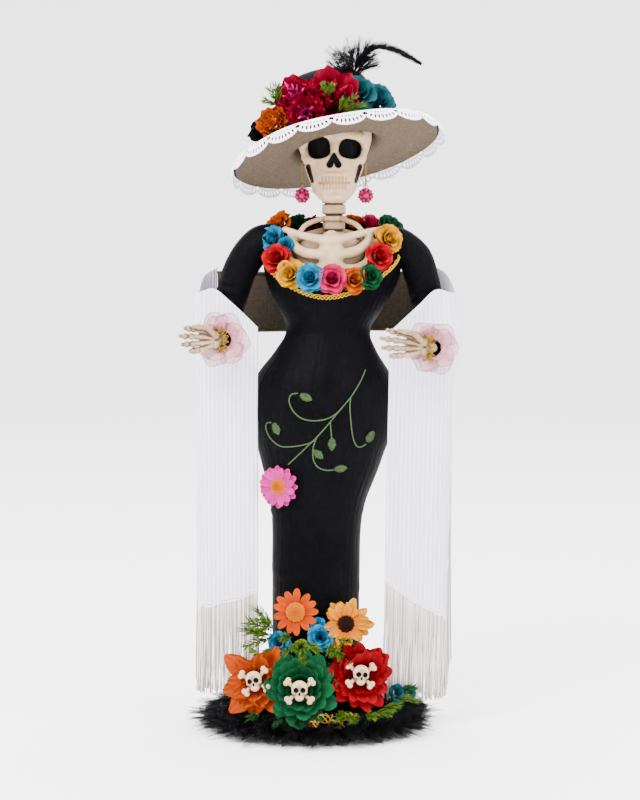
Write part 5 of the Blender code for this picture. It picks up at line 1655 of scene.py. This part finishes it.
def make_foot_flowers():
    """The bank of silk and paper flowers at the hem."""
    # Darkened green at the petal roots and lightened green at their tips: painted shade and painted
    # highlight.
    green = dahlia((-14, -81, 49), (0, -0.96, 0.28),
                   ((13, 13, 22, 15.5, -4, 34), (14, 11, 19.5, 14, 12, 38), (13, 8.5, 17, 12.5, 28, 38),
                    (11, 6, 14, 11, 46, 34), (9, 3, 11, 9, 66, 20)),
                   darker(PAINT["green"], 0.3), lighter(PAINT["green"], 0.55), 201, cup=0.22, tip=0.62,
                   widest=0.78, base=0.5, square=0.9, rows=9, columns=9, jitter=5, ruffle=0.5)
    green.work.piece("green_dahlia", ["petal"], "green", ["green_flower"])
    # The petal roots are painted in a darkened red: painted shade.
    deep_red = darker(PAINT["dark_red"], 0.5)
    red = dahlia((41, -70, 58), (0.28, -0.93, 0.22),
                 ((13, 9, 23, 12.5, 0, 22), (13, 7, 20, 11.5, 16, 26), (11, 5, 16, 10, 32, 30),
                  (9, 3, 12, 9, 52, 24)),
                 deep_red, PAINT["red"], 202, cup=0.16, tip=0.6, widest=0.76, base=0.5, square=0.9,
                 rows=8, columns=9, ruffle=0.8)
    for k, angle in enumerate((142, 52, 122, 74, 98)):
        grid = petal(33 + 2 * (k > 2), 27, 20 + 4 * k, 30, base=0.55, widest=0.62, tip=0.84, square=0.80,
                     cup=0.10, ruffle=1.3, phase=k * 1.3, rows=9, columns=13) @ spin(angle).T
        # The outer petals are painted lighter the nearer they point upward and the higher they lie: painted
        # light and shade.
        shade = petal_tint(grid, deep_red, PAINT["red"], 0.7 + 0.06 * k)
        red.work.grid(red.place(grid + (0, 0, -4 + k * 0.5)), shade)
    red.work.piece("red_dahlia", ["petal"], "red", ["red_flower"])
    flame = dahlia((-53, -63, 51), (-0.35, -0.9, 0.2),
                   ((8, 3, 31, 20, -4, 20), (7, 3, 27, 19, 14, 22), (7, 2.5, 22, 15, 34, 24),
                    (5, 2, 15, 11, 54, 20)),
                   darker(PAINT["red"], 0.75), PAINT["orange"], 203, cup=0.14, tip=0.5, widest=0.66, base=0.4,
                   square=0.88, rows=9, columns=11, ruffle=1.6, vary=0.12, jitter=8)
    flame.work.piece("flame_dahlia", ["petal"], "orange_red", ["orange_flower"])
    daisy((-18.5, -50, 113), (-0.05, -0.99, 0.1), 21, 8.8, 13, (PAINT["flame"], PAINT["orange"]),
          (PAINT["orange"], PAINT["yellow"]), 204, ruffle=0.5, tip=0.6, square=0.92).work.piece(
        "orange_daisy_bloom", ["petal"], "orange", ["orange_daisy"])
    sunny = daisy((27, -49, 102), (0.22, -0.97, 0.12), 23, 8.4, 11,
                  (PAINT["orange"], lighter(PAINT["yellow"], 0.1)),
                  (PAINT["brown"], darker(PAINT["brown"], 1.8)), 205, layers=2, tip=0.5, ruffle=1.2, cup=0.2,
                  vary=0.13, jitter=7, square=0.9)
    sunny.work.piece("sunflower_bloom", ["petal"], "yellow", ["sunflower"])
    daisy((-34, -39, 226), (-0.4, -0.9, 0.05), 19.5, 7.4, 12,
          (darker(PAINT["hot_pink"], 0.72), PAINT["hot_pink"]),
          (PAINT["orange"], PAINT["yellow"]), 206, layers=2, ruffle=0.6, tip=0.6, square=0.92).work.piece(
        "pink_daisy_bloom", ["petal"], "hot_pink", ["pink_daisy"])
    rose((-34, -54, 86), (-0.25, -0.93, 0.25), 10, darker(PAINT["blue"], 0.8), 207, depth=1.1).work.piece(
        "blue_rose_small", ["paper_petal"], "blue", ["blue_rose_right"])
    big = rose((4.5, -56, 91), (0.05, -0.97, 0.2), 11.5, PAINT["blue"], 208, depth=1.1)
    rose((2, -50, 102), (-0.1, -0.8, 0.6), 7, PAINT["blue"], 212, big.work)
    big.work.piece("blue_rose_large", ["paper_petal"], "blue", ["blue_rose_left"])
    teal = rose((74, -54, 40), (0.5, -0.8, 0.35), 8, PAINT["teal"], 209)
    rose((86, -40, 38), (0.6, -0.7, 0.4), 6.5, PAINT["teal"], 210, teal.work)
    teal.work.piece("teal_rose_small", ["paper_petal"], "teal")
    rosette = rose((-13, -66, 84), (0, -0.9, 0.4), 7, PAINT["lime"], 211)
    rosette.work.piece("lime_rosette", ["foliage"], "leaf")
    make_charm("charm_green", (-14.5, -91, 49), (0, -0.97, 0.25), 35, 0)
    make_charm("charm_red", (40, -82, 61.5), (0.2, -0.96, 0.2), 36, -6)
    make_charm("charm_orange", (-55, -75, 54.5), (-0.25, -0.95, 0.2), 37, 14)


def make_greenery():
    """Moss, leaves and plastic sprigs under and between the foot flowers."""
    rng = np.random.default_rng(301)
    work = Patchwork()
    arc = np.radians(np.linspace(-66, 66, 60))
    route = body_at(arc, 39, 17)
    moss = 9.5 + 1.2 * rng.normal(size=60)
    shade = blend_of(darker(PAINT["leaf"], 0.25), darker(PAINT["leaf"], 0.6), rng.uniform(0, 1, 60))
    work.tube(route, moss, shade, sides=14)
    greens = (PAINT["leaf"], PAINT["lime"])
    dark = (PAINT["green"], PAINT["leaf"])
    for start, way, size, needle in (
            ((-40, -52, 96), (-0.9, -0.3, 0.50), 25, 9), ((-40, -52, 93), (-0.95, -0.25, 0.12), 26, 9),
            ((-39, -52, 100), (-0.6, -0.3, 0.8), 24, 8), ((-41, -52, 90), (-0.9, -0.3, -0.2), 24, 8),
            ((-38, -54, 98), (-0.75, -0.35, 0.62), 18, 8), ((-42, -53, 92), (-0.8, -0.4, 0.3), 20, 8),
            ((-18, -66, 88), (-0.5, -0.7, -0.3), 15, 7), ((-8, -68, 88), (0.5, -0.8, -0.25), 15, 7),
            ((-12, -66, 84), (0.0, -0.8, -0.6), 16, 7), ((-22, -62, 92), (-0.5, -0.7, 0.1), 13, 7),
            ((10, -66, 84), (0.45, -0.75, -0.2), 17, 7), ((18, -64, 84), (0.3, -0.8, -0.5), 17, 7),
            ((14, -64, 88), (-0.2, -0.8, -0.4), 15, 7), ((20, -60, 90), (0.6, -0.7, -0.1), 13, 7),
            ((20, -86, 30), (0.5, -0.7, -0.2), 18, 7), ((26, -86, 28), (-0.4, -0.8, 0.0), 16, 7),
            ((44, -82, 26), (0.4, -0.8, 0.1), 17, 7), ((52, -78, 27), (0.8, -0.5, 0.0), 18, 7),
            ((40, -84, 24), (-0.5, -0.8, 0.0), 15, 7), ((60, -68, 30), (0.8, -0.5, 0.1), 18, 7),
            ((72, -54, 34), (0.9, -0.4, 0.1), 19, 7), ((76, -50, 40), (0.8, -0.4, 0.4), 15, 6),
            ((-30, -84, 24), (-0.3, -0.7, -0.1), 15, 6), ((-50, -72, 24), (-0.5, -0.7, 0.0), 14, 6)):
        sprig(work, start, way, size, rng, greens if needle > 6.4 else dark, needle, 12)
    for k in range(70):
        angle = math.radians(-60 + 120 * (k + rng.uniform(0, 1)) / 70)
        root = body_at(angle, 40 + rng.uniform(-14, 34), 16 + rng.uniform(-4, 4))
        way = vec((math.sin(angle) + rng.normal(0, 0.5), -math.cos(angle), rng.normal(0.15, 0.5)))
        leaf(work, root, way, (0, -0.5, 1), rng.uniform(13, 19), rng.uniform(6, 9),
             blend_of(PAINT["green"], PAINT["leaf"], rng.uniform(0, 1)))
    leaf(work, (-52, -60, 78), (-0.4, -0.85, 0.2), (0.2, -0.5, 0.9), 18, 10, PAINT["lime"])
    leaf(work, (-48, -60, 80), (0.3, -0.9, 0.1), (0, -0.5, 0.9), 15, 9, PAINT["leaf"])
    made = work.piece("foot_greenery", ["foliage"], "leaf", ["greenery"])
    gold = Patchwork()
    for centre, size in (((8, -90, 24), 9), ((30, -88, 25), 8), ((18, -92, 20), 8), ((-2, -94, 20), 6)):
        t = np.linspace(0, 1, 90)
        coil = np.stack([centre[0] + size * np.sin(t * 15) * (0.5 + t * 0.5), centre[1] + 3 * np.cos(t * 19),
                         centre[2] + 0.45 * size * np.cos(t * 23)], -1)
        gold.tube(coil, 0.5, PAINT["gold"], sides=5)
    gold.piece("gold_wire_curls", ["gold"], "gold")
    return made


# ---------------------------------------------------------------- the whole figure

def dress_frame():
    """Materials for the CAD nodes that stay."""
    for name, look in (("base_board", "wood"), ("support_dowel", "wood"), ("arm_wire", "steel")):
        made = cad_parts[name]
        made.data.materials.clear()
        made.data.materials.append(LOOKS[look])


def make_stage():
    """A pale floor that curves up far away, soft lights and the camera."""
    turn = circle(96)
    profile = [(0.01, 0), (0.6, 0), (3, 0), (6, 0), (7.5, 0.15), (8.6, 0.7), (9.4, 1.8), (9.8, 3.4), (10, 6)]
    points = [(r * math.cos(a), r * math.sin(a), z) for r, z in profile for a in turn]
    mesh = bpy.data.meshes.new("studio_floor")
    count = len(turn)
    faces = [(i * count + j, i * count + (j + 1) % count, (i + 1) * count + (j + 1) % count,
              (i + 1) * count + j) for i in range(len(profile) - 1) for j in range(count)]
    mesh.from_pydata(points, [], faces)
    mesh.shade_smooth()
    floor = bpy.data.objects.new("studio_floor", mesh)
    bpy.context.scene.collection.objects.link(floor)
    made, tree, shader = new_material("studio_paper")
    mottle = noise_of(tree, 2, detail=2)
    tree.links.new(shader.inputs["Base Color"], ramp(tree, mottle, 0.2, 0.8, grey(0.80), grey(0.82)))
    shader.inputs["Roughness"].default_value = 1.0
    shader.inputs["Specular IOR Level"].default_value = 0.1
    mesh.materials.append(made)

    world = bpy.data.worlds.new("studio")
    bpy.context.scene.world = world
    world.use_nodes = True
    world.node_tree.nodes["Background"].inputs["Color"].default_value = (1, 1, 1, 1)
    world.node_tree.nodes["Background"].inputs["Strength"].default_value = 4.6

    lamps = (("key", (-1.3, -2.0, 2.2), 1.4, 210), ("fill", (1.9, -1.6, 1.3), 1.8, 80),
             ("top", (0.2, 0.6, 2.6), 1.6, 110))
    for name, place, size, power in lamps:
        light = bpy.data.lights.new(name, "AREA")
        light.size, light.energy = size, power
        lamp = bpy.data.objects.new(name, light)
        bpy.context.scene.collection.objects.link(lamp)
        lamp.location = place
        lamp.rotation_euler = (Vector((0.01, 0, 0.3)) - Vector(place)).to_track_quat("-Z", "Y").to_euler()

    camera = bpy.data.objects.new("camera", bpy.data.cameras.new("camera"))
    bpy.context.scene.collection.objects.link(camera)
    camera.location = (0.0037, -2.0, 0.44)
    camera.rotation_euler = (Vector((0.0037, 0, 0.302)) - camera.location).to_track_quat("-Z", "Y").to_euler()
    camera.data.lens = 97.8
    camera.data.sensor_fit = "VERTICAL"
    camera.data.sensor_height = 36
    bpy.context.scene.camera = camera


dress_frame()
dress = make_dress()
for wearing in ("right", "left"):
    sleeve = make_sleeve(wearing)
    make_hand(wearing)
    make_shawl(wearing)
make_core()
make_shade_lining()
make_back_band()
make_skull()
make_neck()
make_ribcage()
make_brim()
make_crown()
make_lace()
make_feathers()
make_hat_flowers()
make_earrings()
make_braid()
make_neckline_roses()
make_cuffs()
make_vine()
make_tulle()
make_foot_flowers()
make_greenery()
make_stage()
